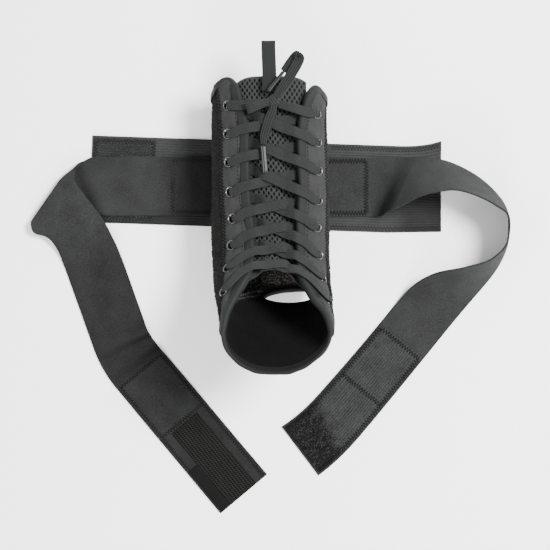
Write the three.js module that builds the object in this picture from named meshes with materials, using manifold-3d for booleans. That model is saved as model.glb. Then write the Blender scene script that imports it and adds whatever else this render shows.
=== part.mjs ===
// A lace-up ankle brace lying on its back with its straps spread out, in millimetres.
// +Z is up, +Y runs up the leg, and the origin is under the elastic cuff band, on the surface it lies on.
// The padded liner and the two laced quarters are layers of one bent tube: a point of it is given by
// `run`, the distance down from the top edge, and `turn`, the angle round the tube from its front.
import * as THREE from 'three';
import { mergeVertices } from 'three/addons/utils/BufferGeometryUtils.js';
import Module from 'manifold-3d';

const wasm = await Module();
wasm.setup();

// Driving dimensions of the tube.
const LEG_WIDTH = 100; // across the leg where it lies
const LEG_DEPTH = 70; // from the calf to the shin
const LEG_RUN = 185; // from the top edge to the heel
const TOP_Y = 86.5; // the top edge above the middle of the cuff band
const RIM_RUN = 218; // from the top edge to the foot opening, along the eyelets
const BACK_HEIGHT = 2; // the calf over the surface that the band lies on
const TOP_DROP = 16; // how much lower the calf's edge is than the shin's
const FRONT_SKEW = 0.11; // the laced front leans this much, as it was laced up
const TOP_SKEW = 0.4; // share of that lean at the top edge
const RIM_SKEW = 0.4; // share of that lean at the foot opening
const RIM_LIFT = 8; // the sole's right side is pulled up this much at the foot opening
const CORNER_ROUND = 12; // rounding of the quarters' lower corners
const SHIN_SQUARE = 2.1; // how boxy the shin side is

// Layers, as distances out from the liner's face.
const LINER = 2.6;
const QUARTER = 1.1;
const LAYER_GAP = 0.4;
const LACE_GAP = 0.5;
const BINDING = 0.7;
const BINDING_FLANGE = 5.2;
const BINDING_GAP = 0.9;
const BINDING_NOSE = 0.85; // between the fold of the tape and the edge in it
const CLEAR = 0.3;
const TONGUE = 4.2;
const TONGUE_HALF = 34;
const TONGUE_CROWN = 2.6;
const TONGUE_CROWN_HALF = 15;
const TONGUE_END = 163;
const TONGUE_ROUND = 6; // its top corners lie this much lower
const TONGUE_LEAN = 3.5; // and its right side this much higher

// Lacing.
const EYELETS = 8;
const FIRST_EYELET = 27.5;
const LAST_EYELET = 22.5; // from the last pair of eyelets to the foot opening
const EYELET_PITCH = (RIM_RUN - FIRST_EYELET - LAST_EYELET) / (EYELETS - 1);
const EYELET_HOLE = 2.5;
const EYELET_FLANGE = 4.4;
const EYELET_WALL = 0.5;
const EYELET_SIDES = 8;
const EYELET_CUT = 14; // length of the cut through the layers
const LACE_WIDTH = 9;
const LACE = 1.2;
const LACE_IN_EYELET = 3.6;
const LACE_FOLDED = 1.6;
const CROSSING_HALF = 9;
const BAR_ARCH = 30; // how far the lowest stretch of lace arches up the leg
const CROSSING_ARCH = 18; // and the lowest crossing; those above it arch less and less
const EDGE_CLEAR = 3.4; // a lace is fully over or under an edge this far before it
const AGLET_LENGTH = 22.5;
const AGLET_DIAMETER = 4;
const PULL_TAB_WIDTH = 11.5;
const PULL_TAB_REACH = 30.5; // past the top of the tongue
const TAPE = 0.9;

// Heel opening.
const HEEL_TO_RIM = 45.5;
const HEEL_HALF_RUN = 9;
const HEEL_HALF_TURN = 0.55; // radians, as the next one
const HEEL_OFFSET = -0.38;

// Band and straps.
const BAND_LEFT = 158;
const BAND_RIGHT = 148.5;
const BAND_WIDTH = 76.5;
const BAND_TILT = -2.0; // degrees
const BAND_DROP = 1.9;
const BAND = 1.6;
const STRAP_WIDTH = 52;
const STRAP = 1.6;
const STRAP_ROOT = 28; // the straps are sewn on this far from the middle, under the tube
const LEFT_LENGTH = 482;
const LEFT_TO_FOLD = 156;
const LEFT_CREASE = 56; // degrees between the strap and its crease
const FOLD_RADIUS = 2.6;
const NEAR_FOLD = 70; // rows of the strap run along the crease within this distance
const SETTLING = 44; // past the band, the folded strap comes down to the surface over this distance
const SETTLED_Y = BAND_DROP + BAND_WIDTH / 2 + 38;
const RIGHT_LENGTH = 492;
const PATCH = 1.0;
const CUFF_PATCH = 54;
const HOOK_WIDTH = 28;
const HOOK_LENGTH = 81;
const STRAP_PATCH = 137;
const PATCH_INSET = 2;
const LABEL_LENGTH = 46;
const LABEL_WIDTH = 9;
const LABEL_GAP = 1; // between the hook strip and the label

// The tube's sections, from the top edge to the foot opening. `frontY` and `backY` are shares of LEG_RUN
// below the top edge, `frontZ` and `backZ` shares of LEG_DEPTH above the calf, `half` a share of half LEG_WIDTH,
// `shift` a share of LEG_WIDTH to the right, and `square` how boxy the calf side is.
const SECTIONS = [
  { at: 0, frontY: 0, frontZ: 0.971, backY: 0, backZ: 0, half: 0.95, shift: -0.018, square: 2.5 },
  { at: 0.126, frontY: 0.149, frontZ: 0.996, backY: 0.149, backZ: 0, half: 0.975, shift: -0.012, square: 2.5 },
  { at: 0.236, frontY: 0.279, frontZ: 1.016, backY: 0.279, backZ: 0, half: 0.99, shift: -0.005, square: 2.5 },
  { at: 0.346, frontY: 0.407, frontZ: 1.033, backY: 0.415, backZ: 0, half: 0.995, shift: -0.002, square: 2.5 },
  { at: 0.456, frontY: 0.543, frontZ: 1.047, backY: 0.55, backZ: 0, half: 1, shift: 0, square: 2.5 },
  { at: 0.567, frontY: 0.665, frontZ: 1.079, backY: 0.692, backZ: 0, half: 1, shift: 0, square: 2.5 },
  { at: 0.677, frontY: 0.782, frontZ: 1.157, backY: 0.865, backZ: 0, half: 1, shift: 0.005, square: 2.45 },
  { at: 0.729, frontY: 0.831, frontZ: 1.229, backY: 0.954, backZ: 0, half: 1, shift: 0.01, square: 2.4 },
  { at: 0.787, frontY: 0.876, frontZ: 1.314, backY: 1.022, backZ: 0.15, half: 0.995, shift: 0.015, square: 2.35 },
  { at: 0.839, frontY: 0.917, frontZ: 1.404, backY: 1.062, backZ: 0.457, half: 0.99, shift: 0.025, square: 2.3 },
  { at: 0.897, frontY: 0.959, frontZ: 1.5, backY: 1.149, backZ: 0.857, half: 0.955, shift: 0.035, square: 2.2 },
  { at: 0.95, frontY: 0.99, frontZ: 1.579, backY: 1.246, backZ: 1.229, half: 0.925, shift: 0.048, square: 2.15 },
  { at: 1, frontY: 1.016, frontZ: 1.657, backY: 1.343, backZ: 1.571, half: 0.885, shift: 0.057, square: 2.1 },
];

// The lace gap: half its width, the shift of its middle, and how far from the middle the eyelets sit,
// as shares of LEG_WIDTH.
const GAP = [
  { at: 0, half: 0.32, middle: 0.018, eyelets: 0.37 },
  { at: 0.03, half: 0.288, middle: 0.018, eyelets: 0.37 },
  { at: 0.085, half: 0.26, middle: 0.016, eyelets: 0.37 },
  { at: 0.133, half: 0.236, middle: 0.016, eyelets: 0.37 },
  { at: 0.236, half: 0.217, middle: 0.02, eyelets: 0.372 },
  { at: 0.401, half: 0.22, middle: 0.03, eyelets: 0.37 },
  { at: 0.567, half: 0.194, middle: 0.038, eyelets: 0.348 },
  { at: 0.677, half: 0.19, middle: 0.041, eyelets: 0.36 },
  { at: 0.78, half: 0.202, middle: 0.042, eyelets: 0.387 },
  { at: 0.835, half: 0.228, middle: 0.045, eyelets: 0.405 },
  { at: 0.897, half: 0.285, middle: 0.052, eyelets: 0.427 },
  { at: 0.95, half: 0.345, middle: 0.055, eyelets: 0.44 },
  { at: 1, half: 0.392, middle: 0.057, eyelets: 0.45 },
];

// The right strap by its outer edge: `at` is a share of its length, `heading` its way in degrees from +X,
// `bank` how far the strap stands up on that edge, and `width` a share of STRAP_WIDTH.
const RIGHT_PATH = [
  { at: 0.0, heading: 0, bank: 0, width: 1 },
  { at: 0.12, heading: 0, bank: 0, width: 1 },
  { at: 0.18, heading: 0, bank: 24, width: 1 },
  { at: 0.23, heading: -7, bank: 47, width: 1 },
  { at: 0.28, heading: -22, bank: 61, width: 1 },
  { at: 0.33, heading: -38, bank: 68, width: 1 },
  { at: 0.38, heading: -55, bank: 76, width: 1 },
  { at: 0.42, heading: -85, bank: 83, width: 1 },
  { at: 0.46, heading: -102, bank: 83, width: 0.99 },
  { at: 0.5, heading: -119, bank: 77, width: 0.98 },
  { at: 0.55, heading: -130, bank: 59, width: 0.97 },
  { at: 0.6, heading: -130, bank: 28, width: 0.96 },
  { at: 0.65, heading: -129, bank: 5, width: 0.955 },
  { at: 0.7, heading: -129, bank: 0, width: 0.955 },
  { at: 0.88, heading: -130, bank: 0, width: 0.99 },
  { at: 1.0, heading: -143, bank: 0, width: 1.04 },
];

// The left strap in its own plane, before it is folded over: `turn` bends it sideways, in degrees, and
// `width` is a share of STRAP_WIDTH.
const LEFT_PATH = [
  { at: 0.0, turn: 0, width: 1 },
  { at: 0.33, turn: 0, width: 1 },
  { at: 0.36, turn: -8, width: 1 },
  { at: 0.42, turn: -8, width: 0.99 },
  { at: 0.46, turn: 2, width: 0.97 },
  { at: 0.62, turn: 2.5, width: 0.965 },
  { at: 0.71, turn: -18, width: 1.01 },
  { at: 1.0, turn: -18, width: 1.03 },
];
// Wrinkles across it: place and length as shares of its length, height in millimetres.
const LEFT_WRINKLES = [
  { at: 0.645, height: 3.0, length: 0.018 },
  { at: 0.7, height: 1.6, length: 0.014 },
];
// Where the loose fold is pulled out of line: `at` and `side` are shares of the strap's length and width,
// `right` and `up` the move and `reach` its spread, in millimetres.
const FOLD_TUGS = [
  { at: 0.35, side: 0.5, right: -7, up: -8, reach: 15 },
  { at: 0.33, side: -0.5, right: 5, up: -5, reach: 14 },
  { at: 0.39, side: -0.5, right: -9, up: 0, reach: 24 },
];

const colours = {
  quarter: 0x3b3d3e, liner: 0x262524, tape: 0x474b4d, mesh: 0x2f3030, lace: 0x3a3b3b,
  strap: 0x363838, patch: 0x2b2b2b, metal: 0xb8bab8, clear: 0x8a8a86,
};
const materialOf = (name, roughness = 0.9, metalness = 0) =>
  new THREE.MeshStandardMaterial({ color: colours[name], roughness, metalness });

// A smooth curve through a table's column: cubic pieces that never swing past a row.
function columnOf(rows, column, scale = 1) {
  const x = rows.map((row) => row.at);
  const y = rows.map((row) => row[column] * scale);
  const rise = x.slice(1).map((_, i) => (y[i + 1] - y[i]) / (x[i + 1] - x[i]));
  const slope = x.map((_, i) => {
    if (i === 0) return rise[0];
    if (i === x.length - 1) return rise[i - 1];
    if (rise[i - 1] * rise[i] <= 0) return 0;
    return (2 * rise[i - 1] * rise[i]) / (rise[i - 1] + rise[i]);
  });
  return (at) => {
    let i = 0;
    while (i < x.length - 2 && at > x[i + 1]) i += 1;
    const width = x[i + 1] - x[i];
    const t = (at - x[i]) / width;
    const a = 2 * t ** 3 - 3 * t ** 2 + 1;
    const b = t ** 3 - 2 * t ** 2 + t;
    const c = -2 * t ** 3 + 3 * t ** 2;
    const d = t ** 3 - t ** 2;
    return a * y[i] + b * width * slope[i] + c * y[i + 1] + d * width * slope[i + 1];
  };
}

const V = (x, y, z) => new THREE.Vector3(x, y, z);
const mix = (a, b, t) => a + (b - a) * t;
const smooth = (t) => {
  const c = Math.min(1, Math.max(0, t));
  return c * c * (3 - 2 * c);
};
const degrees = (angle) => (angle * Math.PI) / 180;

// The tube.
const section = {
  frontY: columnOf(SECTIONS, 'frontY', LEG_RUN),
  frontZ: columnOf(SECTIONS, 'frontZ', LEG_DEPTH),
  backY: columnOf(SECTIONS, 'backY', LEG_RUN),
  backZ: columnOf(SECTIONS, 'backZ', LEG_DEPTH),
  half: columnOf(SECTIONS, 'half', LEG_WIDTH / 2),
  shift: columnOf(SECTIONS, 'shift', LEG_WIDTH),
  square: columnOf(SECTIONS, 'square'),
};
const gapHalf = columnOf(GAP, 'half', LEG_WIDTH);
const gapMiddle = columnOf(GAP, 'middle', LEG_WIDTH);
const eyeletReach = columnOf(GAP, 'eyelets', LEG_WIDTH);

const squareness = (run, turn) =>
  mix(SHIN_SQUARE, section.square(run / RIM_RUN), (1 - Math.cos(turn)) / 2);

function onTube(run, turn) {
  const at = run / RIM_RUN;
  const n = squareness(run, turn);
  const reach = (Math.abs(Math.sin(turn)) ** n + Math.abs(Math.cos(turn)) ** n) ** (-1 / n);
  const side = section.half(at) * reach * Math.sin(turn);
  const up = reach * Math.cos(turn);
  const [fy, fz, by, bz] = ['frontY', 'frontZ', 'backY', 'backZ'].map((name) => section[name](at));
  const front = (1 + Math.cos(turn)) / 2;
  const lean = FRONT_SKEW * mix(TOP_SKEW, 1, smooth(at / 0.12)) * mix(1, RIM_SKEW, smooth((at - 0.9) / 0.1));
  const nearRim = Math.max(0, (at - 0.8) / 0.2) ** 1.5;
  const lift = RIM_LIFT * nearRim * Math.max(0, side / section.half(at)) ** 2;
  const y = TOP_Y - (fy + by) / 2 - ((fy - by) / 2) * up - lean * side * front + lift * (1 - front);
  const z = BACK_HEIGHT + (fz + bz) / 2 + ((fz - bz) / 2) * up;
  return V(section.shift(at) + side, y, z);
}

// How a point of the tube moves as `run` and `turn` grow, and the way out from its face.
function frameAt(run, turn) {
  const step = 0.01;
  const down = onTube(run + step, turn).sub(onTube(run - step, turn)).divideScalar(2 * step);
  const round = onTube(run, turn + step).sub(onTube(run, turn - step)).divideScalar(2 * step);
  return { down, round };
}

function normalAt(run, turn) {
  const { down, round } = frameAt(run, turn);
  return V().crossVectors(down, round).normalize();
}

const layerPoint = (run, turn, out) => onTube(run, turn).addScaledVector(normalAt(run, turn), out);

// The angle at which the tube's face stands at a distance x to the right.
function turnAtX(run, x) {
  const at = run / RIM_RUN;
  const share = (x - section.shift(at)) / section.half(at);
  const n = squareness(run, Math.asin(Math.max(-0.99, Math.min(0.99, share))));
  return Math.atan2(share, (1 - Math.min(0.999, Math.abs(share)) ** n) ** (1 / n));
}

// The liner's own outline: `a` runs from the top edge to the foot opening, `b` from the right edge of the
// lace gap, round the calf, to the left edge.
function outline(a, b) {
  const corner = Math.max(0, 1 - Math.min(b, 1 - b) / 0.07);
  const end = RIM_RUN - CORNER_ROUND * corner ** 2;
  const at = (a * end) / RIM_RUN;
  const from = turnAtX(a * end, gapMiddle(at) + gapHalf(at));
  const to = 2 * Math.PI + turnAtX(a * end, gapMiddle(at) - gapHalf(at));
  const turn = mix(from, to, b);
  const side = Math.min(turn, 2 * Math.PI - turn);
  return [mix(TOP_DROP * smooth((side - 0.55) / 1.1), end, a), turn];
}

// A grid of points in (run, turn), if wanted with an oval opening that its lines flow round.
function gridSheet(rows, columns, hole) {
  const points = [];
  const quads = [];
  const index = rows.map((a) => columns.map((b) => points.push(outline(a, b)) - 1));
  const inHole = (i, j) => hole && i >= hole.i0 && i < hole.i1 && j >= hole.j0 && j < hole.j1;
  for (let i = 0; i + 1 < rows.length; i += 1)
    for (let j = 0; j + 1 < columns.length; j += 1) {
      if (inHole(i, j)) continue;
      quads.push([index[i][j], index[i + 1][j], index[i + 1][j + 1], index[i][j + 1]]);
    }
  if (!hole) return { points, quads };
  const edge = [];
  for (let j = hole.j0; j < hole.j1; j += 1) edge.push(index[hole.i0][j]);
  for (let i = hole.i0; i < hole.i1; i += 1) edge.push(index[i][hole.j1]);
  for (let j = hole.j1; j > hole.j0; j -= 1) edge.push(index[hole.i1][j]);
  for (let i = hole.i1; i > hole.i0; i -= 1) edge.push(index[i][hole.j0]);
  let ring = edge;
  for (let r = 1; r <= hole.rings; r += 1) {
    const inner = edge.map((k) => {
      const [run, turn] = points[k];
      const angle = Math.atan2((turn - hole.turn) / hole.halfTurn, (run - hole.run) / hole.halfRun);
      const oval = [hole.run + hole.halfRun * Math.cos(angle), hole.turn + hole.halfTurn * Math.sin(angle)];
      const t = r / hole.rings;
      return points.push([mix(run, oval[0], t), mix(turn, oval[1], t)]) - 1;
    });
    ring.forEach((k, i) => {
      const next = (i + 1) % ring.length;
      quads.push([ring[next], k, inner[i], inner[next]]);
    });
    ring = inner;
  }
  // Points of the first grid that lie inside the opening's block are no part of any face.
  const used = new Map();
  quads.flat().forEach((k) => used.has(k) || used.set(k, used.size));
  const kept = [...used.keys()].map((k) => points[k]);
  const renamed = quads.map((q) => q.map((k) => used.get(k)));
  return { points: kept, quads: renamed, rim: ring.map((k) => points[k]) };
}

function geometryOf(points, triangles) {
  let volume = 0;
  triangles.forEach(([a, b, c]) => {
    volume += points[a].dot(V().crossVectors(points[b], points[c]));
  });
  const index = volume < 0 ? triangles.map(([a, b, c]) => [a, c, b]) : triangles;
  const geometry = new THREE.BufferGeometry();
  const flat = new Float32Array(points.flatMap((p) => [p.x, p.y, p.z]));
  geometry.setAttribute('position', new THREE.BufferAttribute(flat, 3));
  geometry.setIndex(index.flat());
  geometry.computeVertexNormals();
  return geometry;
}

// A wall between two faces that share one layout of quads, closed along every free edge.
function wall(outer, inner, quads) {
  const shift = outer.length;
  const split = (a, b, c, d) => [[a, b, c], [a, c, d]];
  const free = new Map();
  quads.forEach((q) => q.forEach((a, i) => {
    const b = q[(i + 1) % 4];
    if (!free.delete(`${b},${a}`)) free.set(`${a},${b}`, [a, b]);
  }));
  const triangles = [
    ...quads.flatMap(([a, b, c, d]) => split(a, b, c, d)),
    ...quads.flatMap(([a, b, c, d]) => split(a + shift, d + shift, c + shift, b + shift)),
    ...[...free.values()].flatMap(([a, b]) => split(b, a, a + shift, b + shift)),
  ];
  return geometryOf([...outer, ...inner], triangles);
}

const tubeWall = (sheet, outer, inner) =>
  wall(
    sheet.points.map(([run, turn]) => layerPoint(run, turn, outer(run, turn))),
    sheet.points.map(([run, turn]) => layerPoint(run, turn, inner(run, turn))),
    sheet.quads,
  );

// A solid through sections of equally many points, open with capped ends or closed on itself.
function loft(sections, closed, capShape) {
  const count = sections[0].length;
  const points = sections.flat();
  const triangles = [];
  const steps = closed ? sections.length : sections.length - 1;
  for (let i = 0; i < steps; i += 1) {
    const next = (i + 1) % sections.length;
    for (let j = 0; j < count; j += 1) {
      const k = (j + 1) % count;
      const [a, b, c, d] = [i * count + j, i * count + k, next * count + k, next * count + j];
      triangles.push([a, b, c], [a, c, d]);
    }
  }
  if (!closed) {
    const cap = THREE.ShapeUtils.triangulateShape(capShape, []);
    const last = (sections.length - 1) * count;
    cap.forEach(([a, b, c]) => triangles.push([b, a, c], [a + last, b + last, c + last]));
  }
  return geometryOf(points, triangles);
}

const oblong = [[1, 1], [-1, 1], [-1, -1], [1, -1]].map(([x, y]) => new THREE.Vector2(x, y));

// A flat lace or tape through stations: a centre, the direction of its width, its width and its thickness.
function ribbon(stations) {
  const sections = stations.map((s, i) => {
    const before = stations[Math.max(0, i - 1)].centre;
    const after = stations[Math.min(stations.length - 1, i + 1)].centre;
    const along = V().subVectors(after, before).normalize();
    const face = V().crossVectors(along, s.across).normalize();
    const across = V().crossVectors(face, along).normalize();
    return oblong.map((corner) =>
      s.centre.clone()
        .addScaledVector(across, (corner.x * s.width) / 2)
        .addScaledVector(face, (corner.y * s.thick) / 2));
  });
  return loft(sections, false, oblong);
}

function solidOf(geometry) {
  const bare = geometry.clone();
  bare.deleteAttribute('normal');
  bare.deleteAttribute('uv');
  const merged = mergeVertices(bare, 1e-4);
  return new wasm.Manifold(new wasm.Mesh({
    numProp: 3,
    vertProperties: merged.attributes.position.array,
    triVerts: new Uint32Array(merged.index.array),
  }));
}

function cut(geometry, cutters) {
  let solid = solidOf(geometry);
  cutters.forEach((cutter) => {
    solid = solid.subtract(solidOf(cutter));
  });
  const made = solid.getMesh();
  const result = new THREE.BufferGeometry();
  result.setAttribute('position', new THREE.BufferAttribute(made.vertProperties, 3));
  result.setIndex([...made.triVerts]);
  return result;
}

const brace = new THREE.Group();
function add(name, geometry, material) {
  const mesh = new THREE.Mesh(geometry, material);
  mesh.name = name;
  brace.add(mesh);
  return mesh;
}

// Where the layers lie, out from the liner's face.
const quarterTop = LAYER_GAP + QUARTER;
const bindingTop = quarterTop + BINDING_GAP + BINDING;
const bindingUnder = -LINER - BINDING_GAP - BINDING;
const laceOver = bindingTop + LACE_GAP + LACE / 2;
const laceUnder = bindingUnder - LACE_GAP - LACE / 2;
const laceUpper = 0.2; // where the laces cross, the upper one
const laceLower = laceUpper - LACE - 0.4;
const tongueTop = laceUnder - LACE / 2 - LACE_GAP - 0.2;

// Eyelets.
const RIGHT = 1;
const LEFT = -1;
function eyeletAt(side, number) {
  const run = FIRST_EYELET + (number - 1) * EYELET_PITCH;
  const at = run / RIM_RUN;
  const x = gapMiddle(at) + side * eyeletReach(at);
  const turn = turnAtX(run, x);
  const { down, round } = frameAt(run, turn);
  return {
    run, turn, x, side,
    centre: onTube(run, turn),
    out: normalAt(run, turn),
    down: down.normalize(),
    inward: round.normalize().multiplyScalar(-side),
  };
}
const eyelets = [LEFT, RIGHT].flatMap((side) =>
  Array.from({ length: EYELETS }, (_, i) => ({ number: i + 1, ...eyeletAt(side, i + 1) })));
const eyelet = (side, number) => eyelets.find((e) => e.side === side && e.number === number);
const standOn = (geometry, e) => {
  const turned = new THREE.Quaternion().setFromUnitVectors(V(0, 1, 0), e.out);
  return geometry.applyQuaternion(turned).translate(e.centre.x, e.centre.y, e.centre.z);
};
const eyeletCutters = (side) => eyelets.filter((e) => e.side === side).map((e) =>
  standOn(new THREE.CylinderGeometry(
    EYELET_HOLE + EYELET_WALL + CLEAR, EYELET_HOLE + EYELET_WALL + CLEAR, EYELET_CUT, EYELET_SIDES), e));

function addEyelets() {
  const metal = materialOf('metal', 0.3, 1);
  const flangeUnder = quarterTop + LAYER_GAP;
  const flangeTop = flangeUnder + BINDING;
  const barrel = EYELET_HOLE + EYELET_WALL;
  const profile = [
    [EYELET_HOLE, -LINER - CLEAR], [barrel, -LINER - CLEAR], [barrel, flangeUnder],
    [EYELET_FLANGE, flangeUnder], [EYELET_HOLE, flangeTop], [EYELET_HOLE, -LINER - CLEAR],
  ].map(([r, h]) => new THREE.Vector2(r, h));
  eyelets.forEach((e) => {
    const name = `eyelet_${e.side === LEFT ? 'left' : 'right'}_${e.number}`;
    const mesh = add(name, new THREE.LatheGeometry(profile, EYELET_SIDES), metal);
    mesh.position.copy(e.centre);
    mesh.quaternion.setFromUnitVectors(V(0, 1, 0), e.out);
  });
}

// Liner and quarters.
// Lines of the liner's grid: down from the top edge, and round from the right edge to the left one.
const rows = [
  0, 0.06, 0.14, 0.22, 0.3, 0.38, 0.46, 0.54, 0.61, 0.66, 0.705, 0.75, 0.795, 0.84, 0.88, 0.92, 0.96, 1,
];
const columns = [
  0, 0.03, 0.075, 0.125, 0.165, 0.21, 0.265, 0.32, 0.38, 0.44, 0.5, 0.56, 0.62, 0.68, 0.735, 0.79, 0.84,
  0.897, 0.925, 0.97, 1,
];
const RIGHT_QUARTER_END = 3;
const LEFT_QUARTER_START = 17;
const heel = {
  i0: 10, i1: 13, j0: 7, j1: 12, rings: 2,
  run: RIM_RUN - HEEL_TO_RIM, turn: Math.PI + HEEL_OFFSET, halfRun: HEEL_HALF_RUN, halfTurn: HEEL_HALF_TURN,
};
const linerSheet = gridSheet(rows, columns, heel);

function addLiner() {
  const body = tubeWall(linerSheet, () => 0, () => -LINER);
  const cutters = [...eyeletCutters(LEFT), ...eyeletCutters(RIGHT)];
  add('liner', cut(body, cutters), materialOf('liner', 1));
}

function addQuarter(name, side, from, to) {
  const sheet = gridSheet(rows, columns.slice(from, to + 1));
  const body = tubeWall(sheet, () => quarterTop, () => LAYER_GAP);
  add(name, cut(body, eyeletCutters(side)), materialOf('quarter'));
}

// Bindings: tape folded over an edge. A station is a point of the edge and the way in from it.
function foldedTape(path, closed, coverOf) {
  const count = path.length;
  const sections = path.map(([run, turn], i) => {
    const [r0, t0] = path[closed ? (i + count - 1) % count : Math.max(0, i - 1)];
    const [r1, t1] = path[closed ? (i + 1) % count : Math.min(count - 1, i + 1)];
    const { down, round } = frameAt(run, turn);
    const along = onTube(r1, t1).sub(onTube(r0, t0)).normalize();
    const inward = V().crossVectors(normalAt(run, turn), along).normalize();
    // How far run and turn change for one millimetre inwards.
    const [dd, dr, rr] = [down.dot(down), down.dot(round), round.dot(round)];
    const [di, ri] = [down.dot(inward), round.dot(inward)];
    const scale = 1 / (dd * rr - dr * dr);
    const runStep = (rr * di - dr * ri) * scale;
    const turnStep = (dd * ri - dr * di) * scale;
    const at = (e, out) => layerPoint(run + runStep * e, turn + turnStep * e, out);
    const top = coverOf(run, turn) + BINDING_GAP;
    const under = -LINER - BINDING_GAP;
    const beyond = -BINDING_NOSE;
    return [
      at(BINDING_FLANGE, top + BINDING), at(beyond - BINDING, top + BINDING),
      at(beyond - BINDING, under - BINDING), at(BINDING_FLANGE, under - BINDING),
      at(BINDING_FLANGE, under), at(beyond, under), at(beyond, top), at(BINDING_FLANGE, top),
    ];
  });
  const shape = [[8, 3], [0, 3], [0, 0], [8, 0], [8, 1], [1, 1], [1, 2], [8, 2]]
    .map(([x, y]) => new THREE.Vector2(x, y));
  return loft(sections, closed, shape);
}

// How far out the quarters reach over the liner at a place on the edge.
function cover(run, turn) {
  const [, from] = outline(run / RIM_RUN, 0);
  const [, to] = outline(run / RIM_RUN, 1);
  const b = (turn - from) / (to - from);
  const right = columns[RIGHT_QUARTER_END];
  const left = columns[LEFT_QUARTER_START];
  const reach = 0.03;
  return Math.max(
    quarterTop * smooth((right + 2 * reach - b) / reach),
    quarterTop * smooth((b - left + 2 * reach) / reach),
  );
}

function addBindings() {
  const tape = materialOf('tape', 0.6);
  const sides = rows.filter((a) => a >= 0.05);
  const edge = [
    ...sides.map((a) => outline(a, 0)),
    ...columns.slice(1, -1).map((b) => outline(1, b)),
    ...[...sides].reverse().map((a) => outline(a, 1)),
  ];
  add('edge_binding', foldedTape(edge, false, cover), tape);
  add('top_binding', foldedTape([...columns].reverse().map((b) => outline(0, b)), false, cover), tape);
  add('heel_binding', foldedTape(linerSheet.rim, true, () => 0), tape);
}

// Tongue and its pull tab.
function tongueCrown(x) {
  const share = Math.min(1, Math.abs(x) / TONGUE_CROWN_HALF);
  return TONGUE_CROWN * Math.cos((Math.PI / 2) * share) ** 2;
}

function addTongue() {
  const across = 10;
  const down = 16;
  const points = [];
  const crowns = [];
  for (let i = 0; i <= down; i += 1)
    for (let j = 0; j <= across; j += 1) {
      const x = mix(-TONGUE_HALF, TONGUE_HALF, j / across);
      const share = x / TONGUE_HALF;
      const start = -1 + TONGUE_ROUND * share ** 4 - TONGUE_LEAN * Math.max(0, share);
      const run = mix(start, TONGUE_END, i / down);
      points.push([run, turnAtX(run, gapMiddle(run / RIM_RUN) + x)]);
      crowns.push(tongueTop + tongueCrown(x));
    }
  const quads = [];
  for (let i = 0; i < down; i += 1)
    for (let j = 0; j < across; j += 1) {
      const k = i * (across + 1) + j;
      quads.push([k, k + across + 1, k + across + 2, k + 1]);
    }
  const outer = points.map(([run, turn], k) => layerPoint(run, turn, crowns[k]));
  const inner = points.map(([run, turn], k) => layerPoint(run, turn, crowns[k] - TONGUE));
  add('tongue', wall(outer, inner, quads), materialOf('mesh'));
}

const PULL_TAB_X = -1.2;
function addPullTab() {
  const sewn = 13; // how far down the tongue the tab is sewn
  const turn = turnAtX(sewn, PULL_TAB_X);
  const base = layerPoint(sewn, turn, tongueTop + tongueCrown(PULL_TAB_X) + CLEAR + TAPE / 2);
  const reach = sewn + PULL_TAB_REACH;
  const sag = (y) => -7 * (y / reach) ** 2;
  const opening = 1.3;
  const ys = [0, 0.15, 0.3, 0.45, 0.6, 0.75, 0.88, 0.96];
  const lower = ys.map((t) => [t * reach, sag(t * reach) + 0.9 * (t > 0.8 ? -0.6 : 0)]);
  const above = (t) => TAPE + opening * (0.35 + 1.6 * t ** 3);
  const upper = ys.map((t) => [t * reach, sag(t * reach) + above(t)]).reverse();
  const tip = [[reach, sag(reach) + (TAPE + opening) * 0.6]];
  const stations = [...lower, ...tip, ...upper].map(([y, z]) => ({
    centre: V(base.x, base.y + y, base.z + z + 0.03 * y),
    across: V(1, 0, 0),
    width: PULL_TAB_WIDTH,
    thick: TAPE,
  }));
  add('pull_tab', ribbon(stations), materialOf('tape', 0.8));
}

// Lacing.
const laceStation = (run, x, out, width = LACE_WIDTH) => {
  const turn = turnAtX(run, x);
  const across = frameAt(run, turn).down.normalize();
  return { centre: layerPoint(run, turn, out), across, width, thick: LACE };
};
const through = (e, inward, out, width, thick) => ({
  centre: e.centre.clone().addScaledVector(e.inward, inward).addScaledVector(e.out, out),
  across: e.down.clone(), width, thick,
});
// Down through an eyelet, from over the quarter to under the liner.
const dive = (e) => [
  through(e, 4.4, laceOver, LACE_WIDTH * 0.8, LACE),
  through(e, 1.7, laceOver + 0.1, LACE_IN_EYELET + 0.8, LACE_FOLDED * 0.9),
  through(e, 0.2, quarterTop + 1, LACE_IN_EYELET, LACE_FOLDED),
  through(e, 0.2, -LINER - 0.4, LACE_IN_EYELET, LACE_FOLDED),
  through(e, 1.7, laceUnder, LACE_IN_EYELET + 0.8, LACE),
  through(e, 4.8, laceUnder, LACE_WIDTH * 0.8, LACE),
];

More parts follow.
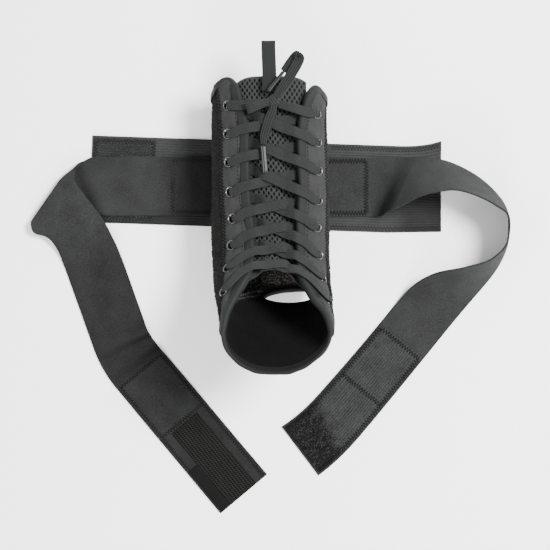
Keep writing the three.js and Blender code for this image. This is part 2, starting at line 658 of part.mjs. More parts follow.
// Across the gap, from under one quarter to over the other, one eyelet further down.
function crossing(from, to) {
  const number = from.number;
  const leftOnTop = number + 1 >= 5;
  const goesOver = to.side === LEFT; // at the crossing, the lace that ends on the left
  const level = goesOver === leftOnTop ? laceUpper : laceLower;
  const arch = CROSSING_ARCH * (number / (EYELETS - 1)) ** 3;
  const runAt = (x) => {
    const t = (x - from.x) / (to.x - from.x);
    return mix(from.run, to.run, t) - arch * Math.sin(Math.PI * t);
  };
  const place = (x) => {
    const run = runAt(x);
    const at = run / RIM_RUN;
    const outer = gapHalf(at) - EDGE_CLEAR;
    const inner = Math.min(CROSSING_HALF, outer - 4);
    const away = Math.abs(x - gapMiddle(at));
    const out = smooth((away - inner) / (outer - inner));
    const far = (x - gapMiddle(at)) * to.side > 0 ? laceOver : laceUnder;
    return laceStation(run, x, mix(level, far, out));
  };
  // Stations on one side: the gap's edge is looked up where this lace passes it.
  const half = (side) => {
    let edge = gapMiddle(from.run / RIM_RUN);
    let outer = CROSSING_HALF + 4;
    for (let i = 0; i < 6; i += 1) {
      const at = runAt(edge) / RIM_RUN;
      outer = gapHalf(at) - EDGE_CLEAR;
      edge = gapMiddle(at) + side * (outer + EDGE_CLEAR);
    }
    const middle = edge - side * (outer + EDGE_CLEAR);
    const inner = Math.min(CROSSING_HALF, outer - 4);
    const reaches = [outer + 8, outer + 3, outer - 0.3, mix(inner, outer, 0.5), inner];
    return reaches.map((reach) => middle + side * reach);
  };
  const middle = gapMiddle((from.run + to.run) / 2 / RIM_RUN);
  return [...half(from.side), middle, ...half(to.side).reverse()].map(place);
}

const KNOT = { run: 21.5, x: 2.2, out: 3.6, halfX: 6.4, halfY: 5.6, halfZ: 4.2 };
const knotCentre = layerPoint(KNOT.run, turnAtX(KNOT.run, KNOT.x), KNOT.out);

// One end of the lace, from the knot to the last eyelet, changing sides at each one.
function strand(side) {
  const first = eyelet(side, 1);
  const near = KNOT.x + side * (KNOT.halfX + 1.2);
  const stations = [0, 0.3, 0.6, 1].map((t) => {
    const x = mix(near, first.x - side * 9, t);
    const out = mix(KNOT.out - 1, laceOver + 0.2, Math.min(1, t * 1.8));
    return laceStation(mix(KNOT.run + 1.5, first.run, t), x, out, mix(5.5, LACE_WIDTH, t));
  });
  stations.push(...dive(first));
  for (let k = 1; k < EYELETS; k += 1) {
    const here = eyelet(k % 2 ? side : -side, k);
    const next = eyelet(k % 2 ? -side : side, k + 1);
    stations.push(...crossing(here, next), ...dive(next));
  }
  return stations;
}

function addLace() {
  // The bar between the last two eyelets arches up the tongue, under the crossing laces.
  const last = [eyelet(RIGHT, EYELETS), eyelet(LEFT, EYELETS)];
  const barLow = laceUnder - LACE - CLEAR;
  const barHigh = laceLower - LACE - CLEAR;
  const bar = [0.07, 0.14, 0.22, 0.3, 0.36, 0.43, 0.5, 0.57, 0.64, 0.7, 0.78, 0.86, 0.93].map((t) => {
    const arch = Math.sin(Math.PI * t);
    const out = mix(barLow, barHigh, smooth((arch - 0.8) / 0.15));
    return laceStation(last[0].run - BAR_ARCH * arch, mix(last[0].x, last[1].x, t), out);
  });
  const stations = [...strand(LEFT), ...bar, ...strand(RIGHT).reverse()];
  add('lace', ribbon(stations), materialOf('lace'));
}

// The bow: knot, two loops and two ends. A loop's stations go out on its upper run, back on its lower one.
const bowPoint = (x, y, z) => V(knotCentre.x + x, knotCentre.y + y, knotCentre.z + z);
const bowStation = ([x, y, z], across, width = LACE_WIDTH, thick = LACE) =>
  ({ centre: bowPoint(x, y, z), across: V(...across).normalize(), width, thick });

function addBow() {
  const lace = materialOf('lace');
  const knot = new THREE.SphereGeometry(1, 12, 8).scale(KNOT.halfX, KNOT.halfY, KNOT.halfZ);
  add('lace_knot', knot.translate(knotCentre.x, knotCentre.y, knotCentre.z), lace);
  // The right loop stands up past the tongue and comes back beside itself, to its end.
  const rightAcross = [0.88, -0.42, 0.2];
  const right = [
    [[3.6, 4.9, 2.3], 5], [[7.6, 10.8, 3.6], 8], [[11.8, 17.6, 5.2], LACE_WIDTH],
    [[15.8, 24.4, 6.6], LACE_WIDTH], [[19.6, 31.0, 7.4], LACE_WIDTH], [[21.2, 35.6, 6.6], LACE_WIDTH],
    [[19.8, 37.2, 4.2], LACE_WIDTH], [[16.6, 34.8, 1.8], LACE_WIDTH], [[12.6, 29.8, 0.8], 8],
    [[9.0, 25.3, 0.5], 3.6],
  ].map(([point, width]) => bowStation(point, rightAcross, width));
  add('lace_loop_right', ribbon(right), lace);
  const leftAcross = [-0.3, 0.92, 0.2];
  const left = [
    [[-5.7, -0.6, 2.8], 5], [[-11, -2.6, 4.2], 7.4], [[-16.5, -4.6, 5.2], LACE_WIDTH],
    [[-20.6, -6.0, 4.2], LACE_WIDTH], [[-21.6, -6.3, 3.0], LACE_WIDTH], [[-19.6, -5.6, 1.9], LACE_WIDTH],
    [[-14, -3.8, 1.9], 7.4], [[-8.6, -2.0, 1.4], 3],
  ].map(([point, width]) => bowStation(point, leftAcross, width));
  add('lace_loop_left', ribbon(left), lace);
  const tailOut = laceUpper + LACE + CLEAR + 1.1;
  const tail = [
    { down: 7.2, x: -0.4, width: 6.2, lift: 1.4 },
    { down: 14, x: -2.6, width: 8, lift: 0.3 },
    { down: 22, x: -5, width: 8, lift: 0 },
    { down: 30, x: -7, width: 7, lift: 0 },
    { down: 37.6, x: -8, width: 5, lift: 0.2 },
  ].map((row) => laceStation(KNOT.run + row.down, KNOT.x + row.x, tailOut + row.lift, row.width));
  const sideways = V(1, 0, 0);
  add('lace_tail', ribbon(tail.map((s) => ({ ...s, across: sideways }))), lace);
  addAglet('aglet_tail', [
    laceStation(KNOT.run + 38.2, KNOT.x - 8.1, tailOut + 0.9).centre,
    laceStation(KNOT.run + 38.2 + AGLET_LENGTH, KNOT.x - 6.2, tailOut + 0.9).centre,
  ]);
  addAglet('aglet_loop', [bowPoint(8.76, 25, 0.45), bowPoint(-4.2, 8.4, -0.4)]);
}

function addAglet(name, [from, to]) {
  const length = from.distanceTo(to);
  const geometry = new THREE.CylinderGeometry(AGLET_DIAMETER / 2, AGLET_DIAMETER / 2, length, 8);
  const mesh = add(name, geometry.scale(1, 1, 0.7), materialOf('clear', 0.35));
  mesh.position.copy(from).add(to).multiplyScalar(0.5);
  mesh.quaternion.setFromUnitVectors(V(0, 1, 0), to.clone().sub(from).normalize());
}

// Cuff band, flat on the surface.
function addBand() {
  const group = new THREE.Group();
  group.rotation.z = degrees(BAND_TILT);
  group.position.y = -BAND_DROP;
  brace.add(group);
  const slab = (name, x0, x1, z0, thick, width, material) => {
    const geometry = new THREE.BoxGeometry(x1 - x0, width, thick, 1, 1, 1);
    const mesh = new THREE.Mesh(geometry.translate((x0 + x1) / 2, 0, z0 + thick / 2), material);
    mesh.name = name;
    group.add(mesh);
  };
  slab('cuff_band', -BAND_LEFT, BAND_RIGHT, 0, BAND, BAND_WIDTH, materialOf('strap'));
  const patchLeft = -BAND_LEFT + PATCH_INSET;
  slab('cuff_patch', patchLeft, patchLeft + CUFF_PATCH, BAND + CLEAR, PATCH, BAND_WIDTH - 2 * PATCH_INSET,
    materialOf('patch'));
}

// A strap or patch as a wall about a surface: `surface(u, v)` with u along and v across.
function strapWall(surface, us, vs, low, high) {
  const step = 0.05;
  const face = (out) => us.flatMap((u) => vs.map((v) => {
    const [shiftedU, sideV] = [surface.shear ? surface.shear(u, v) : u, v];
    const along = surface.at(shiftedU + step, sideV).sub(surface.at(shiftedU - step, sideV));
    const across = surface.at(shiftedU, sideV + step).sub(surface.at(shiftedU, sideV - step));
    const normal = V().crossVectors(along, across).normalize().multiplyScalar(surface.up);
    return surface.at(shiftedU, sideV).addScaledVector(normal, out);
  }));
  const quads = [];
  for (let i = 0; i + 1 < us.length; i += 1)
    for (let j = 0; j + 1 < vs.length; j += 1) {
      const k = i * vs.length + j;
      quads.push([k, k + 1, k + vs.length + 1, k + vs.length]);
    }
  return wall(face(high), face(low), quads);
}

const range = (from, to, count) => Array.from({ length: count + 1 }, (_, i) => mix(from, to, i / count));
const rootZ = BAND + CLEAR + STRAP / 2;
const patchedZ = rootZ + PATCH + CLEAR;

// The left strap: drawn flat, then rolled over its slanting crease.
function leftSurface() {
  const turnOf = columnOf(LEFT_PATH, 'turn');
  const widthOf = columnOf(LEFT_PATH, 'width');
  const steps = 400;
  const path = [V(-STRAP_ROOT, -BAND_DROP - 1, 0)];
  const headings = [Math.PI];
  for (let i = 1; i <= steps + 40; i += 1) {
    const heading = Math.PI + degrees(turnOf(Math.min(1, i / steps)));
    headings.push(heading);
    const step = V(Math.cos(heading), Math.sin(heading), 0).multiplyScalar(LEFT_LENGTH / steps);
    path.push(path[i - 1].clone().add(step));
  }
  const lookUp = (u) => {
    const place = Math.max(0, (u / LEFT_LENGTH) * steps);
    const i = Math.min(path.length - 2, Math.floor(place));
    return [path[i].clone().lerp(path[i + 1], place - i), mix(headings[i], headings[i + 1], place - i)];
  };
  const crease = V(-Math.cos(degrees(LEFT_CREASE)), -Math.sin(degrees(LEFT_CREASE)), 0);
  const away = V(crease.y, -crease.x, 0);
  const origin = lookUp(LEFT_TO_FOLD)[0];
  const half = Math.PI * FOLD_RADIUS;
  // Rows of the strap near the fold run along the crease.
  const slant = 1 / Math.tan(degrees(LEFT_CREASE));
  const near = (u) => smooth(1 - Math.abs(u - LEFT_TO_FOLD - half / 2) / NEAR_FOLD);
  const at = (u, v) => {
    const [centre, heading] = lookUp(u);
    const side = v * widthOf(Math.min(1, u / LEFT_LENGTH));
    const flat = centre.add(V(-Math.sin(heading), Math.cos(heading), 0).multiplyScalar(side));
    const off = flat.sub(origin);
    const along = off.dot(crease);
    const past = off.dot(away);
    const onPatch = smooth((u - 40) / 30);
    const low = mix(rootZ, patchedZ, onPatch);
    const place = origin.clone().addScaledVector(crease, along);
    FOLD_TUGS.forEach((tug) => {
      const alongStrap = u - v * slant * near(u) - tug.at * LEFT_LENGTH;
      const far = Math.hypot(alongStrap, v - tug.side * STRAP_WIDTH) / tug.reach;
      place.add(V(tug.right, tug.up, 0).multiplyScalar(Math.exp(-(far ** 2))));
    });
    if (past < 0) return place.addScaledVector(away, past).setZ(low);
    if (past < half)
      return place.addScaledVector(away, FOLD_RADIUS * Math.sin(past / FOLD_RADIUS))
        .setZ(low + FOLD_RADIUS * (1 - Math.cos(past / FOLD_RADIUS)));
    place.addScaledVector(away, -(past - half));
    const settle = smooth((place.y + SETTLED_Y) / SETTLING);
    const bump = (w) => w.height * Math.exp(-(((u / LEFT_LENGTH - w.at) / w.length) ** 2));
    const wrinkle = LEFT_WRINKLES.reduce((sum, w) => sum + bump(w) * (0.5 - v / STRAP_WIDTH), 0);
    return place.setZ(mix(STRAP / 2, low + 2 * FOLD_RADIUS, settle) + wrinkle);
  };
  return { at, up: -1, shear: (u, v) => u + v * slant * near(u) };
}

function rightSurface() {
  const headingOf = columnOf(RIGHT_PATH, 'heading');
  const bankOf = columnOf(RIGHT_PATH, 'bank');
  const widthOf = columnOf(RIGHT_PATH, 'width');
  const steps = 400;
  const edge = [V(STRAP_ROOT, STRAP_WIDTH / 2 - BAND_DROP - 2, 0)];
  for (let i = 1; i <= steps + 2; i += 1) {
    const heading = degrees(headingOf(Math.min(1, (i - 0.5) / steps)));
    const step = V(Math.cos(heading), Math.sin(heading), 0).multiplyScalar(RIGHT_LENGTH / steps);
    edge.push(edge[i - 1].clone().add(step));
  }
  const at = (u, v) => {
    const share = Math.min(1, Math.max(0, u / RIGHT_LENGTH));
    const place = Math.max(0, (u / RIGHT_LENGTH) * steps);
    const i = Math.min(edge.length - 2, Math.floor(place));
    const foot = edge[i].clone().lerp(edge[i + 1], place - i);
    const heading = degrees(headingOf(share));
    const bank = degrees(Math.max(0, bankOf(share)));
    const over = smooth((BAND_RIGHT + 22 - foot.x) / 20) * (foot.y > -STRAP_WIDTH ? 1 : 0);
    const lift = mix(0, BAND + CLEAR, over) + (STRAP / 2) * Math.cos(bank);
    const side = (v + STRAP_WIDTH / 2) * widthOf(share);
    return foot.add(V(
      Math.sin(heading) * Math.cos(bank) * side,
      -Math.cos(heading) * Math.cos(bank) * side,
      lift + Math.sin(bank) * side,
    ));
  };
  return { at, up: -1 };
}

function addStraps() {
  const left = leftSurface();
  const right = rightSurface();
  const fold = LEFT_TO_FOLD;
  const roll = Math.PI * FOLD_RADIUS / Math.sin(degrees(LEFT_CREASE));
  const leftRuns = [
    ...range(0, fold - 30, 4), fold - 10, ...range(fold, fold + roll, 6), fold + roll + 12,
    ...range(fold + roll + 30, LEFT_LENGTH * 0.61, 5),
    ...range(LEFT_LENGTH * 0.63, LEFT_LENGTH * 0.75, 6),
    ...range(LEFT_LENGTH * 0.8, LEFT_LENGTH - HOOK_LENGTH - CLEAR, 1),
    ...range(LEFT_LENGTH - 50, LEFT_LENGTH, 1),
  ];
  const half = STRAP_WIDTH / 2;
  const across = range(-half, half, 3);
  add('strap_left', strapWall(left, leftRuns, across, -STRAP / 2, STRAP / 2), materialOf('strap'));
  const end = RIGHT_LENGTH - PATCH_INSET;
  const patchRuns = range(end - STRAP_PATCH, end, 10);
  const rightRuns = [0, 40, ...range(60, end - STRAP_PATCH - 12, 24), ...patchRuns, RIGHT_LENGTH];
  const rightWall = strapWall(right, rightRuns, range(-half, half, 2), -STRAP / 2, STRAP / 2);
  add('strap_right', rightWall, materialOf('strap'));
  const under = STRAP / 2 + CLEAR;
  const patch = (name, surface, us, v0, v1) =>
    add(name, strapWall(surface, us, [v0, v1], under, under + PATCH), materialOf('patch', 1));
  patch('strap_patch', right, patchRuns, PATCH_INSET - half, half - PATCH_INSET);
  // The hook strip and the blank label lie side by side at the folded strap's end.
  const leftEnd = LEFT_LENGTH - CLEAR;
  patch('strap_hook', left, range(leftEnd - HOOK_LENGTH, leftEnd, 3), -HOOK_WIDTH / 2, HOOK_WIDTH / 2);
  const labelFrom = HOOK_WIDTH / 2 + LABEL_GAP;
  patch('strap_label', left, range(leftEnd - LABEL_LENGTH, leftEnd, 2), labelFrom, labelFrom + LABEL_WIDTH);
}

addLiner();
addQuarter('quarter_right', RIGHT, 0, RIGHT_QUARTER_END);
addQuarter('quarter_left', LEFT, LEFT_QUARTER_START, columns.length - 1);
addBindings();
addTongue();
addPullTab();
addEyelets();
addLace();
addBow();
addBand();
addStraps();

export default brace;
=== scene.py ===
import bpy
import numpy as np
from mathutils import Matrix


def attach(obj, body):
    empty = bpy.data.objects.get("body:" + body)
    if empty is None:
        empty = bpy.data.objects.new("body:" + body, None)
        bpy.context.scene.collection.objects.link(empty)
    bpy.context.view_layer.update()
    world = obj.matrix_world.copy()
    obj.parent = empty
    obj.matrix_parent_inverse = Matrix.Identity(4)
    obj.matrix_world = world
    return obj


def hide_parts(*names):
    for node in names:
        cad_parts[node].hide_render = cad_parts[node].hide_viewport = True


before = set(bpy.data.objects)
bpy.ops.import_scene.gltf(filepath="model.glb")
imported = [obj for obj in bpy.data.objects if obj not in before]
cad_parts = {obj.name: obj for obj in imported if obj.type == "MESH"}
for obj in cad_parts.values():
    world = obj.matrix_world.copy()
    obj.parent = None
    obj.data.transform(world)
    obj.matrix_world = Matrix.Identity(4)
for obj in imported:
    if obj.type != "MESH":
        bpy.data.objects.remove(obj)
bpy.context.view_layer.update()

# A lace-up ankle brace lying on its back. Sizes are in millimetres, turned to metres as meshes are made.
# A point of the tube has a run, its distance down from the top edge, and a turn, its angle from the front.

pi = np.pi

tube = {
    "legWidth": 100, "legDepth": 70, "legRun": 185, "topY": 86.5, "rimRun": 218, "backHeight": 2,
    "topDrop": 16, "frontSkew": 0.11, "topSkew": 0.4, "rimSkew": 0.4, "rimLift": 8, "cornerRound": 12,
    "shinSquare": 2.1, "topRound": 7, "liner": 2.6, "quarter": 1.1, "layerGap": 0.4,
    "rightQuarterEnd": 0.125, "leftQuarterStart": 0.897,
    "heelRun": 172.5, "heelTurn": pi - 0.38, "heelHalfRun": 9, "heelHalfTurn": 0.55,
    "firstEyelet": 27.5, "eyeletPitch": 24, "eyeletHole": 3.0,
}
# Sections from the top edge to the rim: shares of the run, the depth and half the width of the leg.
sections = {
    "at": [0, .126, .236, .346, .456, .567, .677, .729, .787, .839, .897, .95, 1],
    "frontY": [0, .149, .279, .407, .543, .665, .782, .831, .876, .917, .959, .99, 1.016],
    "frontZ": [.971, .996, 1.016, 1.033, 1.047, 1.079, 1.157, 1.229, 1.314, 1.404, 1.5, 1.579, 1.657],
    "backY": [0, .149, .279, .415, .55, .692, .865, .954, 1.022, 1.062, 1.149, 1.246, 1.343],
    "backZ": [0, 0, 0, 0, 0, 0, 0, 0, .15, .457, .857, 1.229, 1.571],
    "half": [.95, .975, .99, .995, 1, 1, 1, 1, .995, .99, .955, .925, .885],
    "shift": [-.018, -.012, -.005, -.002, 0, 0, .005, .01, .015, .025, .035, .048, .057],
    "square": [2.5, 2.5, 2.5, 2.5, 2.5, 2.5, 2.45, 2.4, 2.35, 2.3, 2.2, 2.15, 2.1],
}
gap = {
    "at": [0, .03, .085, .133, .236, .401, .567, .677, .78, .835, .897, .95, 1],
    "half": [.32, .288, .26, .236, .217, .22, .194, .19, .202, .228, .285, .345, .392],
    "middle": [.018, .018, .016, .016, .02, .03, .038, .041, .042, .045, .052, .055, .057],
    "eyelets": [.37, .37, .37, .37, .372, .37, .348, .36, .387, .405, .427, .44, .45],
}


# A smooth curve through a table's column: cubic pieces that never swing past a row.
def through(x, y, at):
    x, y, at = np.asarray(x, float), np.asarray(y, float), np.asarray(at, float)
    width = np.diff(x)
    rise = np.diff(y) / width
    before, after = rise[:-1], rise[1:]
    both = before * after > 0
    middle = np.where(both, 2 * before * after / np.where(both, before + after, 1), 0)
    slope = np.concatenate([rise[:1], middle, rise[-1:]])
    i = np.clip(np.searchsorted(x, at, "right") - 1, 0, len(x) - 2)
    t = (at - x[i]) / width[i]
    a, c = 2 * t**3 - 3 * t**2 + 1, 3 * t**2 - 2 * t**3
    b, d = t**3 - 2 * t**2 + t, t**3 - t**2
    return a * y[i] + b * width[i] * slope[i] + c * y[i + 1] + d * width[i] * slope[i + 1]


def mix(a, b, t):
    return a + (b - a) * t


def smooth(t):
    t = np.clip(t, 0, 1)
    return t * t * (3 - 2 * t)


def unit(v):
    return v / np.maximum(np.linalg.norm(v, axis=-1, keepdims=True), 1e-9)


def dot(a, b):
    return (a * b).sum(-1, keepdims=True)


# Soft lumps: a sum of sine waves in many directions, each wave with its own length and phase.
def lumps(points, length, seed, waves=14):
    own = np.random.default_rng(seed)
    direction = unit(own.normal(size=(waves, points.shape[-1])))
    phase = own.uniform(0, 2 * pi, waves)
    scale = 2 * pi / (length * own.uniform(0.7, 1.5, waves))
    return np.sin((points @ direction.T) * scale + phase).sum(-1) / np.sqrt(waves)


def sectionAt(name, at, scale=1):
    return through(sections["at"], sections[name], at) * scale


def squareness(run, turn):
    return mix(tube["shinSquare"], sectionAt("square", run / tube["rimRun"]), (1 - np.cos(turn)) / 2)


# The tube's middle layer: a superellipse round the leg, whose front and back follow the two profiles.
def onTube(run, turn):
    run, turn = np.broadcast_arrays(np.asarray(run, float), np.asarray(turn, float))
    at, n = run / tube["rimRun"], squareness(run, turn)
    reach = (np.abs(np.sin(turn)) ** n + np.abs(np.cos(turn)) ** n) ** (-1 / n)
    side = sectionAt("half", at, tube["legWidth"] / 2) * reach * np.sin(turn)
    up = reach * np.cos(turn)
    frontY, backY = sectionAt("frontY", at, tube["legRun"]), sectionAt("backY", at, tube["legRun"])
    frontZ, backZ = sectionAt("frontZ", at, tube["legDepth"]), sectionAt("backZ", at, tube["legDepth"])
    front = (1 + np.cos(turn)) / 2
    nearTop, nearRim = mix(tube["topSkew"], 1, smooth(at / 0.12)), mix(1, tube["rimSkew"],
                                                                       smooth((at - 0.9) / 0.1))
    lean = tube["frontSkew"] * nearTop * nearRim
    half = sectionAt("half", at, tube["legWidth"] / 2)
    lift = tube["rimLift"] * np.maximum(0, (at - 0.8) / 0.2) ** 1.5 * np.maximum(0, side / half) ** 2
    middleY = tube["topY"] - (frontY + backY) / 2
    y = middleY - (frontY - backY) / 2 * up - lean * side * front + lift * (1 - front)
    z = tube["backHeight"] + (frontZ + backZ) / 2 + (frontZ - backZ) / 2 * up
    return np.stack([sectionAt("shift", at, tube["legWidth"]) + side, y, z], -1)


# How a point of the tube moves as run and turn grow, and the way out.
def tubeFrame(run, turn):
    step = 0.01
    down = (onTube(run + step, turn) - onTube(run - step, turn)) / (2 * step)
    around = (onTube(run, turn + step) - onTube(run, turn - step)) / (2 * step)
    return down, around, unit(np.cross(down, around))


def layer(run, turn, out):
    return onTube(run, turn) + tubeFrame(run, turn)[2] * np.asarray(out)[..., None]


def turnAtX(run, x):
    at = np.asarray(run) / tube["rimRun"]
    share = (x - sectionAt("shift", at, tube["legWidth"])) / sectionAt("half", at, tube["legWidth"] / 2)
    n = squareness(run, np.arcsin(np.clip(share, -0.99, 0.99)))
    return np.arctan2(share, (1 - np.minimum(0.999, np.abs(share)) ** n) ** (1 / n))


def gapHalf(at):
    return through(gap["at"], gap["half"], at) * tube["legWidth"]


def gapMiddle(at):
    return through(gap["at"], gap["middle"], at) * tube["legWidth"]


# Towards the rim the layers are pressed thinner.
def towardsRim(run):
    return smooth((run - 200) / 14)


# The liner's outline: a from the top edge to the rim, b from the right edge of the gap round to the left.
def outline(a, b):
    a, b = np.broadcast_arrays(np.asarray(a, float), np.asarray(b, float))
    corner = np.maximum(0, 1 - np.minimum(b, 1 - b) / 0.07)
    end = tube["rimRun"] - tube["cornerRound"] * corner**2
    at = a * end / tube["rimRun"]
    start = turnAtX(a * end, gapMiddle(at) + gapHalf(at))
    stop = 2 * pi + turnAtX(a * end, gapMiddle(at) - gapHalf(at))
    turn = mix(start, stop, b)
    side = np.minimum(turn, 2 * pi - turn)
    top = tube["topDrop"] * smooth((side - 0.55) / 1.1)
    top = top + tube["topRound"] * np.maximum(0, 1 - np.minimum(b, 1 - b) / 0.045) ** 2
    return mix(top, end, a), turn


def gridQuads(rows, columns, ringColumns=False):
    i, j = np.meshgrid(np.arange(rows - 1), np.arange(columns if ringColumns else columns - 1), indexing="ij")
    k = (j + 1) % columns
    quads = np.stack([i * columns + j, (i + 1) * columns + j, (i + 1) * columns + k, i * columns + k], -1)
    return quads.reshape(-1, 4)


# Two faces with one layout of quads, joined along every free edge.
def closeWall(quads, shift):
    edges = np.concatenate([quads[:, [i, (i + 1) % 4]] for i in range(4)])
    key = edges.min(1) * 10_000_000 + edges.max(1)
    _, index, count = np.unique(key, return_index=True, return_counts=True)
    free = edges[index[count == 1]]
    rim = np.column_stack([free[:, 1], free[:, 0], free[:, 0] + shift, free[:, 1] + shift])
    return np.concatenate([quads, quads[:, ::-1] + shift, rim])


def makeMesh(name, points, quads, material, uv=None, shades=None, replaces=()):
    points = np.ascontiguousarray(points.reshape(-1, 3) * 0.001, np.float32)
    a, b, c, d = (points[quads[:, i]] for i in range(4))
    volume = (a * np.cross(b, c)).sum() + (a * np.cross(c, d)).sum()
    if volume < 0:
        quads = quads[:, ::-1]
    mesh = bpy.data.meshes.new(name)
    mesh.vertices.add(len(points))
    mesh.vertices.foreach_set("co", points.ravel())
    mesh.loops.add(quads.size)
    mesh.loops.foreach_set("vertex_index", np.ascontiguousarray(quads.ravel(), np.int32))
    mesh.polygons.add(len(quads))
    mesh.polygons.foreach_set("loop_start", np.arange(0, quads.size, 4, dtype=np.int32))
    mesh.update(calc_edges=True)
    mesh.polygons.foreach_set("use_smooth", np.ones(len(quads), bool))
    if uv is not None:
        layerOf = mesh.uv_layers.new(name="UVMap")
        corners = uv.reshape(-1, 2)[quads.ravel()]
        layerOf.data.foreach_set("uv", np.ascontiguousarray(corners, np.float32).ravel())
    for key, values in (shades or {}).items():
        attribute = mesh.attributes.new(key, "FLOAT", "POINT")
        attribute.data.foreach_set("value", np.ascontiguousarray(values.ravel(), np.float32))
    mesh.materials.append(material)
    piece = bpy.data.objects.new(name, mesh)
    bpy.context.scene.collection.objects.link(piece)
    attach(piece, "root")
    if replaces:
        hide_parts(*replaces)
    return piece


# A wall between two faces that share one layout of quads.
def makeWall(name, outer, inner, quads, uv, material, shades, replaces):
    points = np.concatenate([outer.reshape(-1, 3), inner.reshape(-1, 3)])
    uv = np.concatenate([uv.reshape(-1, 2)] * 2)
    return makeMesh(name, points, closeWall(quads, len(uv) // 2), material, uv, shades, replaces)


# sRGB hex to linear light.
def linear(code):
    channels = np.array([int(code[i:i + 2], 16) for i in (0, 2, 4)]) / 255
    return tuple(np.where(channels <= 0.04045, channels / 12.92, ((channels + 0.055) / 1.055) ** 2.4)) + (1,)


def addNode(tree, kind, settings=None, links=None):
    made = tree.nodes.new(kind)
    for key, value in (settings or {}).items():
        if isinstance(key, str) and hasattr(made, key):
            setattr(made, key, value)
        else:
            made.inputs[key].default_value = value
    for key, source in (links or {}).items():
        tree.links.new(source, made.inputs[key])
    return made


def newMaterial(name):
    material = bpy.data.materials.new(name)
    material.use_nodes = True
    tree = material.node_tree
    tree.nodes.clear()
    output = addNode(tree, "ShaderNodeOutputMaterial")
    return material, tree, output


def maths(tree, operation, *values):
    made = addNode(tree, "ShaderNodeMath", {"operation": operation})
    for i, value in enumerate(values):
        if isinstance(value, (int, float)):
            made.inputs[i].default_value = value
        else:
            tree.links.new(value, made.inputs[i])
    return made.outputs[0]


def attributeOf(tree, name):
    return addNode(tree, "ShaderNodeAttribute", {"attribute_name": name}).outputs["Fac"]


def noiseAt(tree, place, scale, detail, roughness=0.5):
    settings = {"Scale": scale, "Detail": detail, "Roughness": roughness}
    return addNode(tree, "ShaderNodeTexNoise", settings, {"Vector": place}).outputs["Fac"]


# Two colours mixed; each is a value or comes from a node.
def mixColours(tree, factor, first, second):
    made = addNode(tree, "ShaderNodeMix", {"data_type": "RGBA"}, {"Factor": factor})
    for index, colour in ((6, first), (7, second)):
        if isinstance(colour, tuple):
            made.inputs[index].default_value = colour
        else:
            tree.links.new(colour, made.inputs[index])
    return made.outputs[2]


# Cloth: a base colour mottled by noise, threads crossing along the piece's own UV in millimetres,
# loose fibres as fine noise, and a soft sheen where the face turns away.
def clothMaterial(name, look):
    material, tree, output = newMaterial(name)
    uv = addNode(tree, "ShaderNodeUVMap").outputs[0]
    split = addNode(tree, "ShaderNodeSeparateXYZ", None, {0: uv})
    u, v = split.outputs[0], split.outputs[1]
    place = addNode(tree, "ShaderNodeTexCoord").outputs["Object"]
    # Threads: waves across and along, in millimetres, joined as in a plain or twill weave.
    across = maths(tree, "SINE", maths(tree, "MULTIPLY", u, 2 * pi / look["across"]))
    slant = maths(tree, "ADD", v, maths(tree, "MULTIPLY", u, look["slant"]))
    along = maths(tree, "SINE", maths(tree, "MULTIPLY", slant, 2 * pi / look["along"]))
    threads = maths(tree, "ADD", maths(tree, "MULTIPLY", across, look["acrossDepth"]),
                    maths(tree, "MULTIPLY", along, look["alongDepth"]))
    fibres = noiseAt(tree, place, 1000 / look["fibre"], 4.0, 0.65)
    mottle = noiseAt(tree, place, 1000 / look["mottle"], 3.0)
    height = maths(tree, "ADD", threads, maths(tree, "MULTIPLY", fibres, look["fibreDepth"]))
    # The pit attribute flattens the threads and mixes in the look's pit colour: on some pieces their own dark
    # cloth or worn pile, on others painted shade.
    if look.get("pit"):
        pit = attributeOf(tree, "pit")
        flat = maths(tree, "MULTIPLY", pit, 0.9)
        height = maths(tree, "MULTIPLY", height, maths(tree, "SUBTRACT", 1.0, flat))
    # Light fibre tips over a darker ground, and slow changes of shade where the cloth is worn or stretched.
    shade = maths(tree, "ADD", maths(tree, "MULTIPLY", fibres, look["contrast"]),
                  maths(tree, "MULTIPLY", mottle, look["patchy"]))
    shade = maths(tree, "ADD", shade, maths(tree, "MULTIPLY", threads, look["threadShade"]))
    shade = maths(tree, "ADD", shade, 0.5 - 0.5 * (look["contrast"] + look["patchy"]))
    colour = mixColours(tree, shade, linear(look["dark"]), linear(look["light"]))
    if look.get("pit"):
        # In dark parts the tips of the fibres may stay light, as specks.
        tips = maths(tree, "MULTIPLY", maths(tree, "SUBTRACT", fibres, 0.5), look.get("specks", 0.0))
        dim = maths(tree, "MULTIPLY", pit, maths(tree, "SUBTRACT", 1.0, tips))
        colour = mixColours(tree, dim, colour, linear(look["pit"]))
    if look.get("inside"):
        # Painted light: where the inside attribute is set, the terry is lightened in specks towards a pale
        # grey, as if light fell on it.
        inside = attributeOf(tree, "inside")
        loops = maths(tree, "MULTIPLY", maths(tree, "SUBTRACT", fibres, 0.46), 6.0)
        colour = mixColours(tree, maths(tree, "MULTIPLY", inside, loops), colour, linear(look["inside"]))
    bump = addNode(tree, "ShaderNodeBump", {"Distance": 0.001 * look["relief"], "Strength": 1.0},
                   {"Height": height})
    shader = addNode(tree, "ShaderNodeBsdfPrincipled", {
        "Roughness": look["rough"], "Specular IOR Level": look["shine"], "Sheen Weight": look["sheen"],
        "Sheen Roughness": 0.5, "Sheen Tint": linear("c8cdd0"),
    }, {"Base Color": colour, "Normal": bump.outputs[0]})
    tree.links.new(shader.outputs[0], output.inputs[0])
    return material


